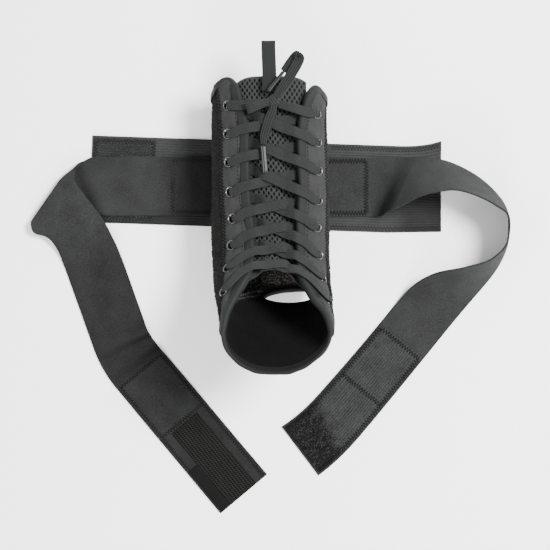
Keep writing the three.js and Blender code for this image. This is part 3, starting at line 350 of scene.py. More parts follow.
# Plain materials: one colour with a little grain in the roughness.
def plainMaterial(name, colour, rough, metallic=0.0, shine=0.5, grain=0.1):
    material, tree, output = newMaterial(name)
    place = addNode(tree, "ShaderNodeTexCoord").outputs["Object"]
    roughness = maths(tree, "MULTIPLY", noiseAt(tree, place, 900.0, 3.0), grain)
    roughness = maths(tree, "ADD", roughness, rough - grain / 2)
    settings = {"Base Color": linear(colour), "Specular IOR Level": shine, "Metallic": metallic}
    shader = addNode(tree, "ShaderNodeBsdfPrincipled", settings, {"Roughness": roughness})
    tree.links.new(shader.outputs[0], output.inputs[0])
    return material


# How each cloth looks: its darkest and lightest shade, its threads across and along with their slant and
# depths, its fibres and their depth, the size of its patches, and how strong each shows. In millimetres.
lookColumns = (
    "dark", "light", "across", "along", "slant", "acrossDepth", "alongDepth", "fibre", "fibreDepth", "mottle",
    "contrast", "patchy", "threadShade", "relief", "rough", "sheen", "shine")
lookRows = {
    # Brushed terry of the padded liner: deep black loops with grey tips, which give the fuzzy dark border.
    "terry": ("040303", "2c2b2a", 1.5, 1.5, 0, 0.15, 0.15, 1.4, 1.6, 14, 1.5, 0.3, 0.1, 0.8, 1, 0.03, 0.05),
    # Smooth bonded knit of the quarters: even, slightly bluish charcoal with a fine matt grain.
    "knit": ("181716", "323333", 0.9, 0.9, 0, 0.3, 0.3, 0.8, 0.7, 9, 1, 0.5, 0.05, 0.12, 0.95, 0.05, 0.1),
    # Woven nylon tape: smooth, cooler grey, with fine ribs across it.
    "tape": ("0d0d0d", "1b1d1d", 0.9, 0.9, 0, 0.1, 0.55, 0.7, 0.3, 12, 0.35, 0.3, 0.12, 0.1, 0.7, 0.03, 0.15),
    # Polyester spacer mesh: grey filament bundles round dark open cells.
    "mesh": ("181818", "363737", 0.55, 0.55, 0, 0.4, 0.4, 0.7, 0.5, 8, 0.5, 0.3, 0.2, 0.15, 0.8, 0.04, 0.15),
    # Flat braided lace: filament plaits slanting across it.
    "lace": ("0b0b0b", "292a2a", 2, 1.5, 0.9, 0.8, 0.45, 0.6, 0.4, 10, 0.6, 0.3, 0.23, 0.35, 0.8, 0.04, 0.12),
    # Knitted elastic strap: soft suede-like face with fine grain.
    "strap": ("121111", "2e2f2f", 0.8, 0.8, 0, 0.2, 0.35, 0.95, 1.1, 16, 1.7, 0.5, 0.08, 0.22, 0.97, 0.04,
              0.08),
    # Ribbed elastic of the cuff band: cords of rubber along it under the yarn.
    "elastic": ("181717", "373838", 2.4, 0.9, 0, 0.8, 0.2, 1, 0.6, 14, 0.9, 0.3, 0.14, 0.3, 0.95, 0.04, 0.08),
    # Loop tape: brushed nylon loops in lengthwise rows, darker and rougher than the strap.
    "loop": ("0b0a0a", "343535", 2.3, 1.7, 0, 0.5, 0.25, 1, 1.5, 12, 1.6, 0.5, 0.16, 0.5, 1, 0.04, 0.08),
    # Hook tape: rows of stiff hooks in a woven ground, seen as light points on black.
    "hook": ("010101", "232322", 2.5, 2, 0.5, 0.7, 0.7, 0.8, 0.6, 10, 0.6, 0.2, 0.3, 0.6, 0.9, 0, 0.05),
    # Satin label, left blank.
    "satin": ("040404", "080808", 0.7, 0.5, 0, 0.1, 0.3, 0.8, 0.2, 10, 0.3, 0.2, 0.1, 0.06, 0.7, 0, 0.08),
    # Clear film rolled round the lace: glossy, with the ribs of the lace showing through as lines.
    "film": ("0a0a0a", "2b2b2a", 1.9, 4, 0, 1, 0.05, 1.5, 0.1, 10, 0.1, 0.1, 0.75, 0.1, 0.45, 0, 0.25),
}
# Dark colours that the pit attribute mixes in: the terry's own black sole lining, worn and darker loop pile,
# and painted shade on the tape, mesh, strap and elastic; the painted light on the terry inside the calf; and
# how light the fibre tips stay in dark places.
lookExtras = {
    "terry": {"pit": "030202", "inside": "5e5c5a"},
    "tape": {"pit": "060505"},
    "mesh": {"pit": "030303"},
    "strap": {"pit": "070606"},
    "elastic": {"pit": "070606"},
    "loop": {"pit": "050404", "specks": 5},
}
looks = {name: {**dict(zip(lookColumns, row)), **lookExtras.get(name, {})} for name, row in lookRows.items()}
# Where it is laced the plait is drawn tight and fine; its ribs show only in the loose bow.
looks["laced"] = {**looks["lace"], "across": 1.15, "along": 1.3, "threadShade": 0.26, "relief": 0.22}
cloth = {name: clothMaterial(name, look) for name, look in looks.items()}
thread = plainMaterial("sewing thread", "0d0d0d", 0.8, shine=0.05)
paleThread = plainMaterial("pale sewing thread", "8a8a88", 0.7, shine=0.15)
nickel = plainMaterial("nickel plate", "626260", 0.3, metallic=1.0)
print("materials made")


# Liner: the whole padded tube. Its pile stands up in small tufts where no quarter covers it.
linerLook = {"tuft": 0.55, "tuftLength": 2.2, "sag": 0.7, "rows": 190, "columns": 230}


def inHeel(run, turn, grow=0.0):
    a = (run - tube["heelRun"]) / (tube["heelHalfRun"] + grow)
    b = (turn - tube["heelTurn"]) / (tube["heelHalfTurn"] + grow / 50)
    return a**2 + b**2


# Inside, the seam where the terry meets the sole's lining falls towards the rim on the left.
def soleRun(turn):
    return 171 + 30 * smooth((turn - pi - 0.2) / 1.3)


eyeletCount = 8
eyeletRuns = tube["firstEyelet"] + tube["eyeletPitch"] * np.arange(eyeletCount)
eyeletAt, bothSides = eyeletRuns / tube["rimRun"], np.broadcast_to(eyeletRuns, (2, eyeletCount))
fromMiddle = np.array([[-1], [1]]) * through(gap["at"], gap["eyelets"], eyeletAt)[None] * tube["legWidth"]
eyeletX = gapMiddle(eyeletAt)[None] + fromMiddle
eyeletTurn = turnAtX(bothSides, eyeletX)
eyeletCentre = onTube(bothSides, eyeletTurn)
eyeletDown, eyeletAround, eyeletOut = tubeFrame(bothSides, eyeletTurn)
eyeletDown, eyeletAround = unit(eyeletDown), unit(eyeletAround)


def eyeletDistance(points):
    return np.sqrt(((points[..., None, :] - eyeletCentre.reshape(-1, 3)) ** 2).sum(-1))


def clearOfEyelets(points, quads):
    return eyeletDistance(points).min(-1).ravel()[quads].mean(1) > tube["eyeletHole"]


def makeLiner():
    a, b = np.meshgrid(np.linspace(0, 1, linerLook["rows"]), np.linspace(0, 1, linerLook["columns"]),
                       indexing="ij")
    run, turn = outline(a, b)
    base = onTube(run, turn)
    # The border is where the quarters end: there the pile is bare and full.
    bare = smooth((b - tube["rightQuarterEnd"]) / 0.012) * smooth((tube["leftQuarterStart"] - b) / 0.012)
    tufts = lumps(base, linerLook["tuftLength"], 3, 20) * linerLook["tuft"] * bare * smooth((1 - a) / 0.05)
    sag = lumps(base, 46, 5) * linerLook["sag"] * bare * smooth((0.9 - a) / 0.2)
    outer = layer(run, turn, bare * 0.1 + tufts + sag)
    thin = 1 - 0.35 * towardsRim(run)
    inner = layer(run, turn, -tube["liner"] * thin + lumps(base, 30, 8) * 0.4 * thin)
    quads = gridQuads(*run.shape)
    far = np.sqrt(inHeel(run, turn)).ravel()[quads].mean(1) > 1
    keep = quads[far & clearOfEyelets(base, quads)]
    # Inside, the sole and sides are a smooth black knit, and the calf is terry.
    sole = smooth((run - soleRun(turn)) / 3)
    uv = np.stack([(turn - pi) * 50, run], -1)
    none = np.zeros(run.size)
    # Painted light: the calf's terry on the inner face, from the calf down to the sole and fading towards the
    # left, is marked to be lightened.
    pile = (smooth((run - 120) / 20) * (1 - sole) * (1 - 0.85 * smooth((turn - pi - 0.25) / 0.5))).ravel()
    shades = {"pit": np.concatenate([none, 0.9 * sole.ravel()]), "inside": np.concatenate([none, pile])}
    return makeWall("liner_cloth", outer, inner, keep, uv, cloth["terry"], shades, ["liner"])


makeLiner()
print("liner made")

# Quarters: bonded knit, drawn down at the borders, full between, and puckered by the laces.
quarterLook = {"puff": 1.0, "pucker": 0.5, "crease": 0.45, "step": 0.8}


def quarterOut(run, turn, b, edge, border):
    base = onTube(run, turn)
    inside = np.clip((b - edge) / (border - edge), 0, 1)
    full = np.sin(pi * np.clip(inside * 1.05 - 0.02, 0, 1)) ** 0.6
    distance = eyeletDistance(base)
    near = np.exp(-((distance / 7.5) ** 2))
    offset = base[..., None, :] - eyeletCentre.reshape(-1, 3)
    down, around = ((offset * way.reshape(-1, 3)).sum(-1) for way in (eyeletDown, eyeletAround))
    angle = np.arctan2(down, around)
    # Rays of folds run out from each eyelet, and a hollow round it is pressed by the flange.
    rays = (np.sin(angle * 7 + np.arange(2 * eyeletCount) * 1.7) * near).sum(-1) * quarterLook["pucker"]
    hollow = -0.8 * np.exp(-((distance / 5.5) ** 2)).sum(-1)
    # Between eyelets the pull of the laces raises slanting creases.
    crease = np.sin(run * 2 * pi / tube["eyeletPitch"] + b * 25 + 0.8
                    * lumps(base, 40, 4)) * quarterLook["crease"] * full
    return tube["layerGap"] + tube["quarter"] + quarterLook["puff"] * full + rays + hollow * 0.8 + crease


def makeQuarter(name, edge, border):
    a, b = np.meshgrid(np.linspace(0, 1, 270), np.linspace(edge, border, 56), indexing="ij")
    run, turn = outline(a, b)
    outer = layer(run, turn, quarterOut(run, turn, b, edge, border))
    inner = layer(run, turn, 0.15 + 0 * run)
    quads = gridQuads(*run.shape)
    keep = quads[clearOfEyelets(onTube(run, turn), quads)]
    uv = np.stack([(turn - pi) * 50, run], -1)
    return makeWall(name + "_cloth", outer, inner, keep, uv, cloth["knit"], None, [name])


makeQuarter("quarter_right", 0, tube["rightQuarterEnd"])
makeQuarter("quarter_left", 1, tube["leftQuarterStart"])
print("quarters made")

# Tape: a flat tape folded over an edge. Its section is a hairpin with a rounded nose.
tapeLook = {"flange": 5.4, "thick": 0.75, "topGap": 0.5, "wave": 0.35}


def foldedTape(name, path, closed, cover, replaces, flange=None, wobble=0.0, dark=0.0):
    flange = tapeLook["flange"] if flange is None else flange
    run, turn = path
    points = onTube(run, turn)
    if closed:
        along = unit(np.roll(points, -1, 0) - np.roll(points, 1, 0))
    else:
        along = unit(np.gradient(points, axis=0))
    down, around, out = tubeFrame(run, turn)
    inward = unit(np.cross(out, along))
    dd, dr, rr = dot(down, down), dot(down, around), dot(around, around)
    di, ri = dot(down, inward), dot(around, inward)
    runStep = ((rr * di - dr * ri) / (dd * rr - dr * dr))[:, 0]
    turnStep = ((dd * ri - dr * di) / (dd * rr - dr * dr))[:, 0]
    length = np.concatenate([[0], np.cumsum(np.linalg.norm(np.diff(points, axis=0), axis=1))])
    thin = towardsRim(run)
    top = cover + tapeLook["topGap"] * (1 - 0.4 * thin)
    under = -tube["liner"] * (1 - 0.35 * thin) - 0.5 * (1 - 0.4 * thin)
    middle, radius = (top + under) / 2, (top - under) / 2
    # The section: e is the distance in from the edge, o the distance out, w the place across the tape.
    angle = np.linspace(pi / 2, 3 * pi / 2, 9)
    thick = tapeLook["thick"]
    flatIn = np.array([1.0, 0.98, 0.8, 0.6, 0.4, 0.2, 0.0])
    # The fourth value of each row is a painted shade: none on the outer flange, rising round the nose to 0.9
    # on the inner side, which lies in the shade inside the tube.
    rows = []
    for share in flatIn:
        lift = thick * (0.35 if share == 1 else 1.0)
        rows.append((flange * share, top + lift, flange * share, 0.0))
    for t in angle[1:-1]:
        inside = 0.9 * smooth((0.2 - np.sin(t)) / 0.8)
        rows.append(((thick + 1.2) * np.cos(t), middle + (radius + thick) * np.sin(t), -2 * np.sin(t),
                     inside))
    for share in flatIn[::-1]:
        rows.append((flange * share, under - thick, -flange * share - 4, 0.9))
    for share in flatIn:
        rows.append((flange * share, under, -flange * share - 4, 0.9))
    for t in angle[::-1][1:-1]:
        rows.append((1.0 * np.cos(t) - 0.1, middle + radius * np.sin(t), -2 * np.sin(t), 0.9))
    for share in flatIn[::-1]:
        rows.append((flange * share, top + 0 * middle, flange * share, 0.9))
    e, o, w, shade = (np.stack([row[k] + 0 * run for row in rows], 1) for k in range(4))
    # dark is a painted shade laid over the whole tape.
    shade = np.maximum(dark, shade)
    wave = lumps(points, 16, 12)[:, None] * tapeLook["wave"] * (o > middle[:, None])
    sideways = lumps(points, 34, 19)[:, None] * wobble
    e = e + sideways
    at = layer(run[:, None] + runStep[:, None] * e, turn[:, None] + turnStep[:, None] * e, o + wave)
    uv = np.stack([w, length[:, None] + 0 * w], -1)
    n, k = e.shape
    if closed:
        at, uv = np.concatenate([at, at[:1]]), np.concatenate([uv, uv[:1] + [0, length[-1] + 2]])
        shade = np.concatenate([shade, shade[:1]])
        n += 1
    quads = gridQuads(n, k, ringColumns=True)
    return makeMesh(name, at, quads, cloth["tape"], uv, {"pit": shade}, replaces)


# How far the quarters stand over the liner along the edge.
def cover(b):
    level = tube["layerGap"] + tube["quarter"]
    right, left = tube["rightQuarterEnd"], tube["leftQuarterStart"]
    return level * np.maximum(smooth((right + 0.03 - b) / 0.03), smooth((b - left + 0.03) / 0.03))


# One path round the whole outline: along the top, down the gap, round the rim and back up. Its corners are
# eased by averaging neighbours. The top tape and the edge tape share it, and meet on the top edge.
def outlinePath():
    topOut, down = np.linspace(0.5, 0, 131)[:-1], np.linspace(0, 1, 166)[:-1]
    rim, up, topBack = np.linspace(0, 1, 201)[:-1], np.linspace(1, 0, 166)[:-1], np.linspace(1, 0.5, 131)[:-1]
    a = np.concatenate([0 * topOut, down, 0 * rim + 1, up, 0 * topBack])
    b = np.concatenate([topOut, 0 * down, rim, 0 * up + 1, topBack])
    run, turn = (sum(np.roll(values, k) for k in range(-4, 5)) / 9 for values in outline(a, b))
    return run, turn, cover(b)


path = np.stack(outlinePath())
meet = 117
edgePart = path[:, meet:path.shape[1] - meet + 1]
topPart = np.concatenate([path[:, -meet:], path[:, :meet + 1]], 1)
foldedTape("edge_tape", edgePart[:2], False, edgePart[2], ["edge_binding"], wobble=0.35)
foldedTape("top_tape", topPart[:2], False, topPart[2], ["top_binding"])
heelAngle = np.linspace(0, 2 * pi, 120, endpoint=False)[::-1]
heelPath = (tube["heelRun"] + tube["heelHalfRun"] * np.cos(heelAngle),
            tube["heelTurn"] + tube["heelHalfTurn"] * np.sin(heelAngle))
# The heel tape lies inside the tube: all of it carries a painted shade of one half.
foldedTape("heel_tape", heelPath, True, 0 * heelAngle, ["heel_binding"], flange=2.6, dark=0.5)
print("tapes made")

# Tongue: spacer mesh. Cells are staggered ovals, pitch across and along, sunk into a domed pad.
tongueLook = {"half": 34, "thick": 4.2, "crown": 2.6, "crownHalf": 15, "end": 163, "top": -6.6,
              "cornerRound": 6, "lean": 3.5,
              "cellAcross": 4.7, "cellAlong": 6.1, "cellDepth": 1.5, "cellWide": 0.30, "cellTall": 0.36}


def makeTongue():
    x, t = np.meshgrid(np.linspace(-1, 1, 170) * tongueLook["half"], np.linspace(0, 1, 400))
    share = x / tongueLook["half"]
    start = -1 + tongueLook["cornerRound"] * share**4 - tongueLook["lean"] * np.maximum(0, share)
    run = mix(start, tongueLook["end"], t)
    turn = turnAtX(run, gapMiddle(run / tube["rimRun"]) + x)
    crown = tongueLook["crown"] * np.cos(pi / 2 * np.minimum(1, np.abs(x) / tongueLook["crownHalf"])) ** 2
    u, v = x / tongueLook["cellAcross"], run / tongueLook["cellAlong"]

    def cell(u, v):
        du = (u - np.round(u)) / tongueLook["cellWide"]
        dv = (v - np.round(v)) / tongueLook["cellTall"]
        # A pointed oval: full depth inside, fading at its border.
        return smooth(1.6 * (1 - (np.abs(du) ** 1.3 + np.abs(dv) ** 1.3)))

    pit = np.maximum(cell(u, v), cell(u + 0.5, v + 0.5))
    # The pad's rim is sewn flat and rounded over.
    fromEdge = np.minimum(tongueLook["half"] - np.abs(x), np.minimum(run - start, tongueLook["end"] - run))
    rim = np.sqrt(np.clip(1 - (1 - np.clip(fromEdge / 3.0, 0, 1)) ** 2, 0, 1))
    pit = pit * smooth((fromEdge - 1.5) / 1.5)
    top = tongueLook["top"] + crown - tongueLook["thick"] * 0.42 * (1 - rim) - tongueLook["cellDepth"] * pit
    low = tongueLook["top"] + crown - tongueLook["thick"] * (1 - 0.42 * (1 - rim))
    outer, inner = layer(run, turn, top), layer(run, turn, low)
    uv = np.stack([x, run], -1)
    # The cells are darkened towards near black by the pit attribute, painted shade in their hollows; the
    # underside is darkened by half.
    shades = {"pit": np.concatenate([pit.ravel(), 0.5 * np.ones(x.size)])}
    pad = makeWall("tongue_mesh", outer, inner, gridQuads(*x.shape), uv, cloth["mesh"], shades,
                   ["tongue"])
    return pad


makeTongue()
print("tongue made")


# A flat lace or tape along stations: centre, direction of its width, width and thickness. The stations are
# joined by smooth curves and the section is a flattened oval.
def ribbon(name, stations, material, replaces, step=0.7, section=20, flatness=3.2):
    centre = np.array([s[0] for s in stations], float)
    across = np.array([s[1] for s in stations], float)
    width = np.array([s[2] for s in stations], float)
    thick = np.array([s[3] for s in stations], float)
    at = np.concatenate([[0], np.cumsum(np.linalg.norm(np.diff(centre, axis=0), axis=1))])
    s = np.linspace(0, at[-1], max(8, int(at[-1] / step)))
    tangent = np.gradient(centre, at, axis=0)
    # Hermite curve through the centres with slopes from their neighbours.
    i = np.clip(np.searchsorted(at, s, "right") - 1, 0, len(at) - 2)
    w = (at[i + 1] - at[i])[:, None]
    t = ((s - at[i]) / w[:, 0])[:, None]
    path = ((2 * t**3 - 3 * t**2 + 1) * centre[i] + (t**3 - 2 * t**2 + t) * w * tangent[i]
            + (3 * t**2 - 2 * t**3) * centre[i + 1] + (t**3 - t**2) * w * tangent[i + 1])
    side = np.stack([through(at, across[:, k], s) for k in range(3)], -1)
    wide, deep = through(at, width, s), through(at, thick, s)
    end = np.sqrt(np.clip(1 - (1 - np.clip(np.minimum(s, at[-1] - s) / (0.5 * deep), 0, 1)) ** 2, 0.0004, 1))
    along = unit(np.gradient(path, axis=0))
    face = unit(np.cross(along, side))
    side = np.cross(face, along)
    angle = np.linspace(0, 2 * pi, section, endpoint=False)
    c, d = np.cos(angle), np.sin(angle)
    px = np.sign(c) * np.abs(c) ** (2 / flatness)
    pz = np.sign(d) * np.abs(d) ** (2 / flatness)
    outwards = px[None, :, None] * wide[:, None, None] / 2 * mix(0.9, 1, end)[:, None, None]
    upwards = pz[None, :, None] * deep[:, None, None] / 2 * end[:, None, None]
    points = path[:, None] + side[:, None] * outwards + face[:, None] * upwards
    uv = np.stack([px[None] * wide[:, None] / 2 + 0 * s[:, None], s[:, None] + 0 * px[None]], -1)
    return makeMesh(name, points, gridQuads(len(s), section, ringColumns=True), material, uv, None,
                    replaces)


# Lacing: every lace end zigzags down the eyelets, from under one quarter to over the other.
laceLook = {"width": 8.6, "thick": 1.2, "inEyelet": 3.8, "folded": 1.7, "crossing": 9, "edgeClear": 3.4,
            "over": 4.35, "under": -5.3, "upper": 0.4, "lower": -1.2, "arch": 18}


def eye(side, number):
    s = 0 if side < 0 else 1
    k = number - 1
    return {"run": eyeletRuns[k], "x": eyeletX[s, k], "side": side, "centre": eyeletCentre[s, k],
            "down": eyeletDown[s, k], "out": eyeletOut[s, k], "inward": eyeletAround[s, k] * -side}


def laceStation(run, x, out, width=None, thick=None, lean=0.0):
    run = np.asarray(run, float)
    turn = turnAtX(run, x)
    down, around, _ = tubeFrame(run, turn)
    return (layer(run, turn, np.asarray(out, float)), unit(down) + lean * unit(around),
            laceLook["width"] if width is None else width, laceLook["thick"] if thick is None else thick)


def throughEyelet(e, inward, out, width, thick):
    return e["centre"] + e["inward"] * inward + e["out"] * out, e["down"], width, thick


def dive(e):
    wide, small, folded = laceLook["width"], laceLook["inEyelet"], laceLook["folded"]
    over, under = laceLook["over"], laceLook["under"]
    return [
        throughEyelet(e, 5.2, over, wide * 0.86, laceLook["thick"]),
        throughEyelet(e, 2.2, over + 0.1, small + 1.8, folded),
        throughEyelet(e, 0.6, 2.8, small, folded),
        throughEyelet(e, 0.2, -3.0, small, folded),
        throughEyelet(e, 1.7, under, small + 0.8, laceLook["thick"]),
        throughEyelet(e, 4.8, under, wide * 0.8, laceLook["thick"]),
    ]


def crossing(a, b):
    number = round((a["run"] - tube["firstEyelet"]) / tube["eyeletPitch"]) + 1
    leftOnTop = number + 1 >= 5
    arch = laceLook["arch"] * (number / (eyeletCount - 1)) ** 3
    level = laceLook["upper"] if (b["side"] < 0) == leftOnTop else laceLook["lower"]

    def runAt(x):
        t = (x - a["x"]) / (b["x"] - a["x"])
        return mix(a["run"], b["run"], t) - arch * np.sin(pi * t)

    def place(x):
        run = runAt(x)
        at = run / tube["rimRun"]
        outer = gapHalf(at) - laceLook["edgeClear"]
        inner = min(laceLook["crossing"], outer - 4)
        away = abs(x - gapMiddle(at))
        far = laceLook["over"] if (x - gapMiddle(at)) * b["side"] > 0 else laceLook["under"]
        return laceStation(run, x, mix(level, far, smooth((away - inner) / (outer - inner))))

    def half(side):
        edgeX, outer = gapMiddle(a["run"] / tube["rimRun"]), 13.0
        for _ in range(6):
            at = runAt(edgeX) / tube["rimRun"]
            outer = gapHalf(at) - laceLook["edgeClear"]
            edgeX = gapMiddle(at) + side * (outer + laceLook["edgeClear"])
        middle = edgeX - side * (outer + laceLook["edgeClear"])
        inner = min(laceLook["crossing"], outer - 4)
        return [middle + side
                * reach for reach in (outer + 8, outer + 3, outer - 0.3, mix(inner, outer, 0.5), inner)]

    middle = gapMiddle((a["run"] + b["run"]) / 2 / tube["rimRun"])
    return [place(x) for x in [*half(a["side"]), middle, *half(b["side"])[::-1]]]


knot = {"run": 21.5, "x": 2.2, "out": 3.6, "halfX": 6.4, "halfY": 5.6, "halfZ": 4.2}
knotCentre = layer(np.float64(knot["run"]), turnAtX(knot["run"], knot["x"]), np.float64(knot["out"]))


def strand(side):
    first = eye(side, 1)
    near = knot["x"] + side * (knot["halfX"] - 2.5)
    stations = []
    for t in (0, 0.3, 0.6, 1):
        x = mix(near, first["x"] - side * 9, t)
        out = mix(knot["out"] - 0.6, laceLook["over"] + 0.2, min(1, t * 1.8))
        stations.append(laceStation(mix(knot["run"] + 1.5, first["run"], t), x, out,
                                    mix(6.5, laceLook["width"], t)))
    stations += dive(first)
    for k in range(1, eyeletCount):
        here = eye(side if k % 2 else -side, k)
        following = eye(-side if k % 2 else side, k + 1)
        stations += crossing(here, following) + dive(following)
    return stations


right8, left8 = eye(1, eyeletCount), eye(-1, eyeletCount)
# The stretch between the last two eyelets arches up the tongue, under the crossings.
barLook = {"arch": 30, "low": -6.8, "high": -2.8}


def barStation(t):
    arch = np.sin(pi * t)
    out = mix(barLook["low"], barLook["high"], smooth((arch - 0.8) / 0.15))
    return laceStation(right8["run"] - barLook["arch"] * arch, mix(right8["x"], left8["x"], t), out)


bar = [barStation(t) for t in (.07, .14, .22, .3, .36, .43, .5, .57, .64, .7, .78, .86, .93)]
ribbon("lace_braid", strand(-1) + bar + strand(1)[::-1], cloth["laced"], ["lace"])


# The bow, about the knot's centre.
def bow(name, rows, across, replaces, thick=1.2):
    stations = [(knotCentre + np.array(row[0]), row[2] if len(row) > 2 else across, row[1],
                 thick) for row in rows]
    return ribbon(name, stations, cloth["lace"], replaces, step=0.5)


# Two wraps drawn tight make the knot.
def wrap(name, axis, radiusA, radiusB, width, replaces=()):
    axis = unit(np.array(axis, float))
    first = unit(np.cross(axis, [0, 0, 1.0]))
    second = np.cross(axis, first)
    rows = []
    for t in np.linspace(0, 2 * pi, 17):
        centre = knotCentre + first * radiusA * np.cos(t) + second * radiusB * np.sin(t)
        rows.append((centre, axis, width, 1.3))
    return ribbon(name, rows, cloth["lace"], replaces, step=0.5)


wrap("knot_wrap", (0.75, 0.6, 0.1), 4.6, 3.0, 7.0, ["lace_knot"])
wrap("knot_wrap_inner", (0.3, -0.9, 0.1), 4.4, 2.3, 6.0)
# At its tip the right loop turns on edge and opens.
bow("bow_right", [
    ([1.2, 2.2, 1.6], 6), ([7.2, 10.6, 3.6], 8), ([12.0, 17.2, 4.8], 9), ([16.4, 24.2, 5.6], 9.2),
    ([20.2, 30.8, 6.0], 9.2, (0.84, -0.42, 0.34)), ([22.2, 35.6, 5.8], 9, (0.74, -0.4, 0.54)),
    ([20.2, 38.2, 4.6], 8.8, (0.64, -0.3, 0.7)), ([18.0, 36.4, 2.8], 8.8, (0.8, -0.42, 0.4)),
    ([14.4, 31.4, 1.4], 9.0, (0.86, -0.42, 0.3)), ([9.0, 24.8, 0.6], 7.5),
], (0.86, -0.42, 0.3), ["lace_loop_right"])
bow("bow_left", [
    ([-2.6, -0.4, 2.2], 6), ([-10.4, -2.6, 4.2], 8), ([-16.5, -4.8, 5.2], 9.2), ([-20.6, -6.2, 4.4], 9.4),
    ([-21.8, -6.5, 2.8], 9.4), ([-19.6, -5.8, 1.6], 9.2), ([-14, -4.0, 1.6], 8), ([-8.0, -2.2, 1.2], 5),
], (-0.3, 0.92, 0.3), ["lace_loop_left"])
tailOut = laceLook["upper"] + laceLook["thick"] + 1.4
tailRows = [(3.2, 0.2, 6.0, 3.2), (8.2, -0.6, 7.0, 1.6), (14, -2.6, 8.6, 0.4), (22, -5, 8.8, 0.0),
            (30, -7, 7.6, 0.0), (37.6, -8, 4.6, 0.2)]
tail = [(laceStation(knot["run"] + d, knot["x"] + x, tailOut + lift)[0], np.array([1.0, 0.1, 0.25]), width,
         1.3)
        for d, x, width, lift in tailRows]
ribbon("tail_lace", tail, cloth["lace"], ["lace_tail"], step=0.5)


# Aglets: clear film rolled flat round the lace's end.
def aglet(name, start, stop, replaces, flip):
    start, stop = np.array(start), np.array(stop)
    rows = [(mix(start, stop, t), flip, 4.2, 2.2) for t in np.linspace(0, 1, 5)]
    return ribbon(name, rows, cloth["film"], replaces, step=0.8, section=28, flatness=2.6)


tipRun = knot["run"] + 38.2
aglet("tail_tip", laceStation(tipRun, knot["x"] - 8.1, tailOut + 0.9)[0],
      laceStation(tipRun + 22.5, knot["x"] - 6.2, tailOut + 0.9)[0], ["aglet_tail"], [1, 0, 0])
aglet("loop_tip", knotCentre + [8.8, 25, 0.6], knotCentre + [-4.2, 8.4, -0.2], ["aglet_loop"],
      [0.4, -0.3, 0.87])
print("lacing made")


# Eyelets: rolled metal rings, a profile turned round each eyelet's axis.
def makeEyelets():
    radius = np.array([2.7, 2.7, 3.3, 3.8, 4.2, 4.45, 4.4, 4.0, 3.05, 3.05])
    height = np.array([-3.4, 0.8, 1.6, 2.2, 2.4, 2.1, 1.9, 1.85, 1.4, -3.4])
    angle = np.linspace(0, 2 * pi, 33)
    cosine, sine, reach = np.cos(angle)[:, None, None], np.sin(angle)[:, None, None], radius[None, :, None]
    quads = gridQuads(len(angle), len(radius), ringColumns=True)
    for s, side in enumerate(("left", "right")):
        for k in range(eyeletCount):
            down, out = eyeletDown[s, k], eyeletOut[s, k]
            ring = (eyeletCentre[s, k] + cosine * reach * down + sine * reach * np.cross(out, down)
                    + height[None, :, None] * out)
            name = f"eyelet_{side}_{k + 1}"
            makeMesh(name + "_ring", ring, quads, nickel, None, None, [name])


makeEyelets()

# Pull tab: a doubled tape sewn to the tongue, standing out past its top.
tabLook = {"width": 12.0, "reach": 30.5, "sewn": 13, "thick": 0.9, "x": -1.2}


def makePullTab():
    turn = turnAtX(tabLook["sewn"], tabLook["x"])
    crown = tongueLook["crown"] * np.cos(pi / 2 * min(1, abs(tabLook["x"]) / tongueLook["crownHalf"])) ** 2
    base = layer(np.float64(tabLook["sewn"]), turn, tongueLook["top"] + crown + 0.75)
    reach = tabLook["sewn"] + tabLook["reach"]
    t = np.array([0, .15, .3, .45, .6, .75, .88, .96])
    low = -7 * t**2 - 0.5 * (t > 0.8)
    high = -7 * t**2 + 0.9 + 1.3 * (0.35 + 1.6 * t**3)
    rows = [*zip(t, low), (1.0, -7 + 1.2), *zip(t[::-1], high[::-1])]
    stations = [(base + [0.4 * np.sin(5 * u), u * reach, z + 0.03 * u * reach], [1, 0, 0.12],
                 tabLook["width"],
                 tabLook["thick"]) for u, z in rows]
    return ribbon("pull_tab_tape", stations, cloth["tape"], ["pull_tab"], step=0.6, flatness=6)


makePullTab()
print("eyelets and pull tab made")

# Band and straps.
bandLook = {"left": 158, "right": 148.5, "width": 76.5, "tilt": -2.0, "drop": 1.9, "thick": 1.6, "curl": 5.0}
strapLook = {"width": 52, "thick": 1.6, "root": 28, "grain": 0.12}
leftStrap = {
    "length": 482, "fold": 156, "crease": 56, "radius": 2.6, "nearFold": 70,
    "at": [0, .33, .36, .42, .46, .62, .71, 1], "turn": [0, 0, -8, -8, 2, 2.5, -18, -18],
    "width": [1, 1, 1, .99, .97, .965, 1.01, 1.03],
    # Wrinkles: place along the strap and length, as shares of its length, and height.
    "wrinkles": [(.64, .012, 4.2), (.665, .01, -1.2), (.7, .011, 3.0)],
    # Where the loose fold is pulled out of line: place along and across as shares, the move, and its spread.
    "tugs": [(.35, .5, -7, -8, 15), (.33, -.5, 5, -5, 14), (.39, -.5, -9, 0, 24)],
}
rightStrap = {
    "length": 492,
    "at": [0, .12, .18, .23, .28, .33, .38, .42, .46, .5, .55, .6, .65, .7, .88, 1],
    "heading": [0, 0, 0, -7, -22, -38, -55, -85, -102, -119, -130, -130, -129, -129, -130, -143],
    "bank": [0, 0, 24, 47, 61, 68, 76, 83, 83, 77, 59, 28, 5, 0, 0, 0],
    "width": [1, 1, 1, 1, 1, 1, 1, 1, .99, .98, .97, .96, .955, .955, .99, 1.04],
}
clearance, patchThick = 0.3, 1.0
rootZ = bandLook["thick"] + clearance + strapLook["thick"] / 2
patchedZ = rootZ + patchThick + clearance


def walk(start, headings, step):
    moves = np.stack([np.cos(headings), np.sin(headings), 0 * headings], -1) * step
    return np.concatenate([[start], start + np.cumsum(moves, 0)])


# Creases across the left strap, deepest at one side: place and length as shares of its length, and height.
def leftCreases(u, v, rows):
    return sum(high * np.exp(-(((u / leftStrap["length"] - at) / long) ** 2)) * (0.5 - v / strapLook["width"])
               for at, long, high in rows)


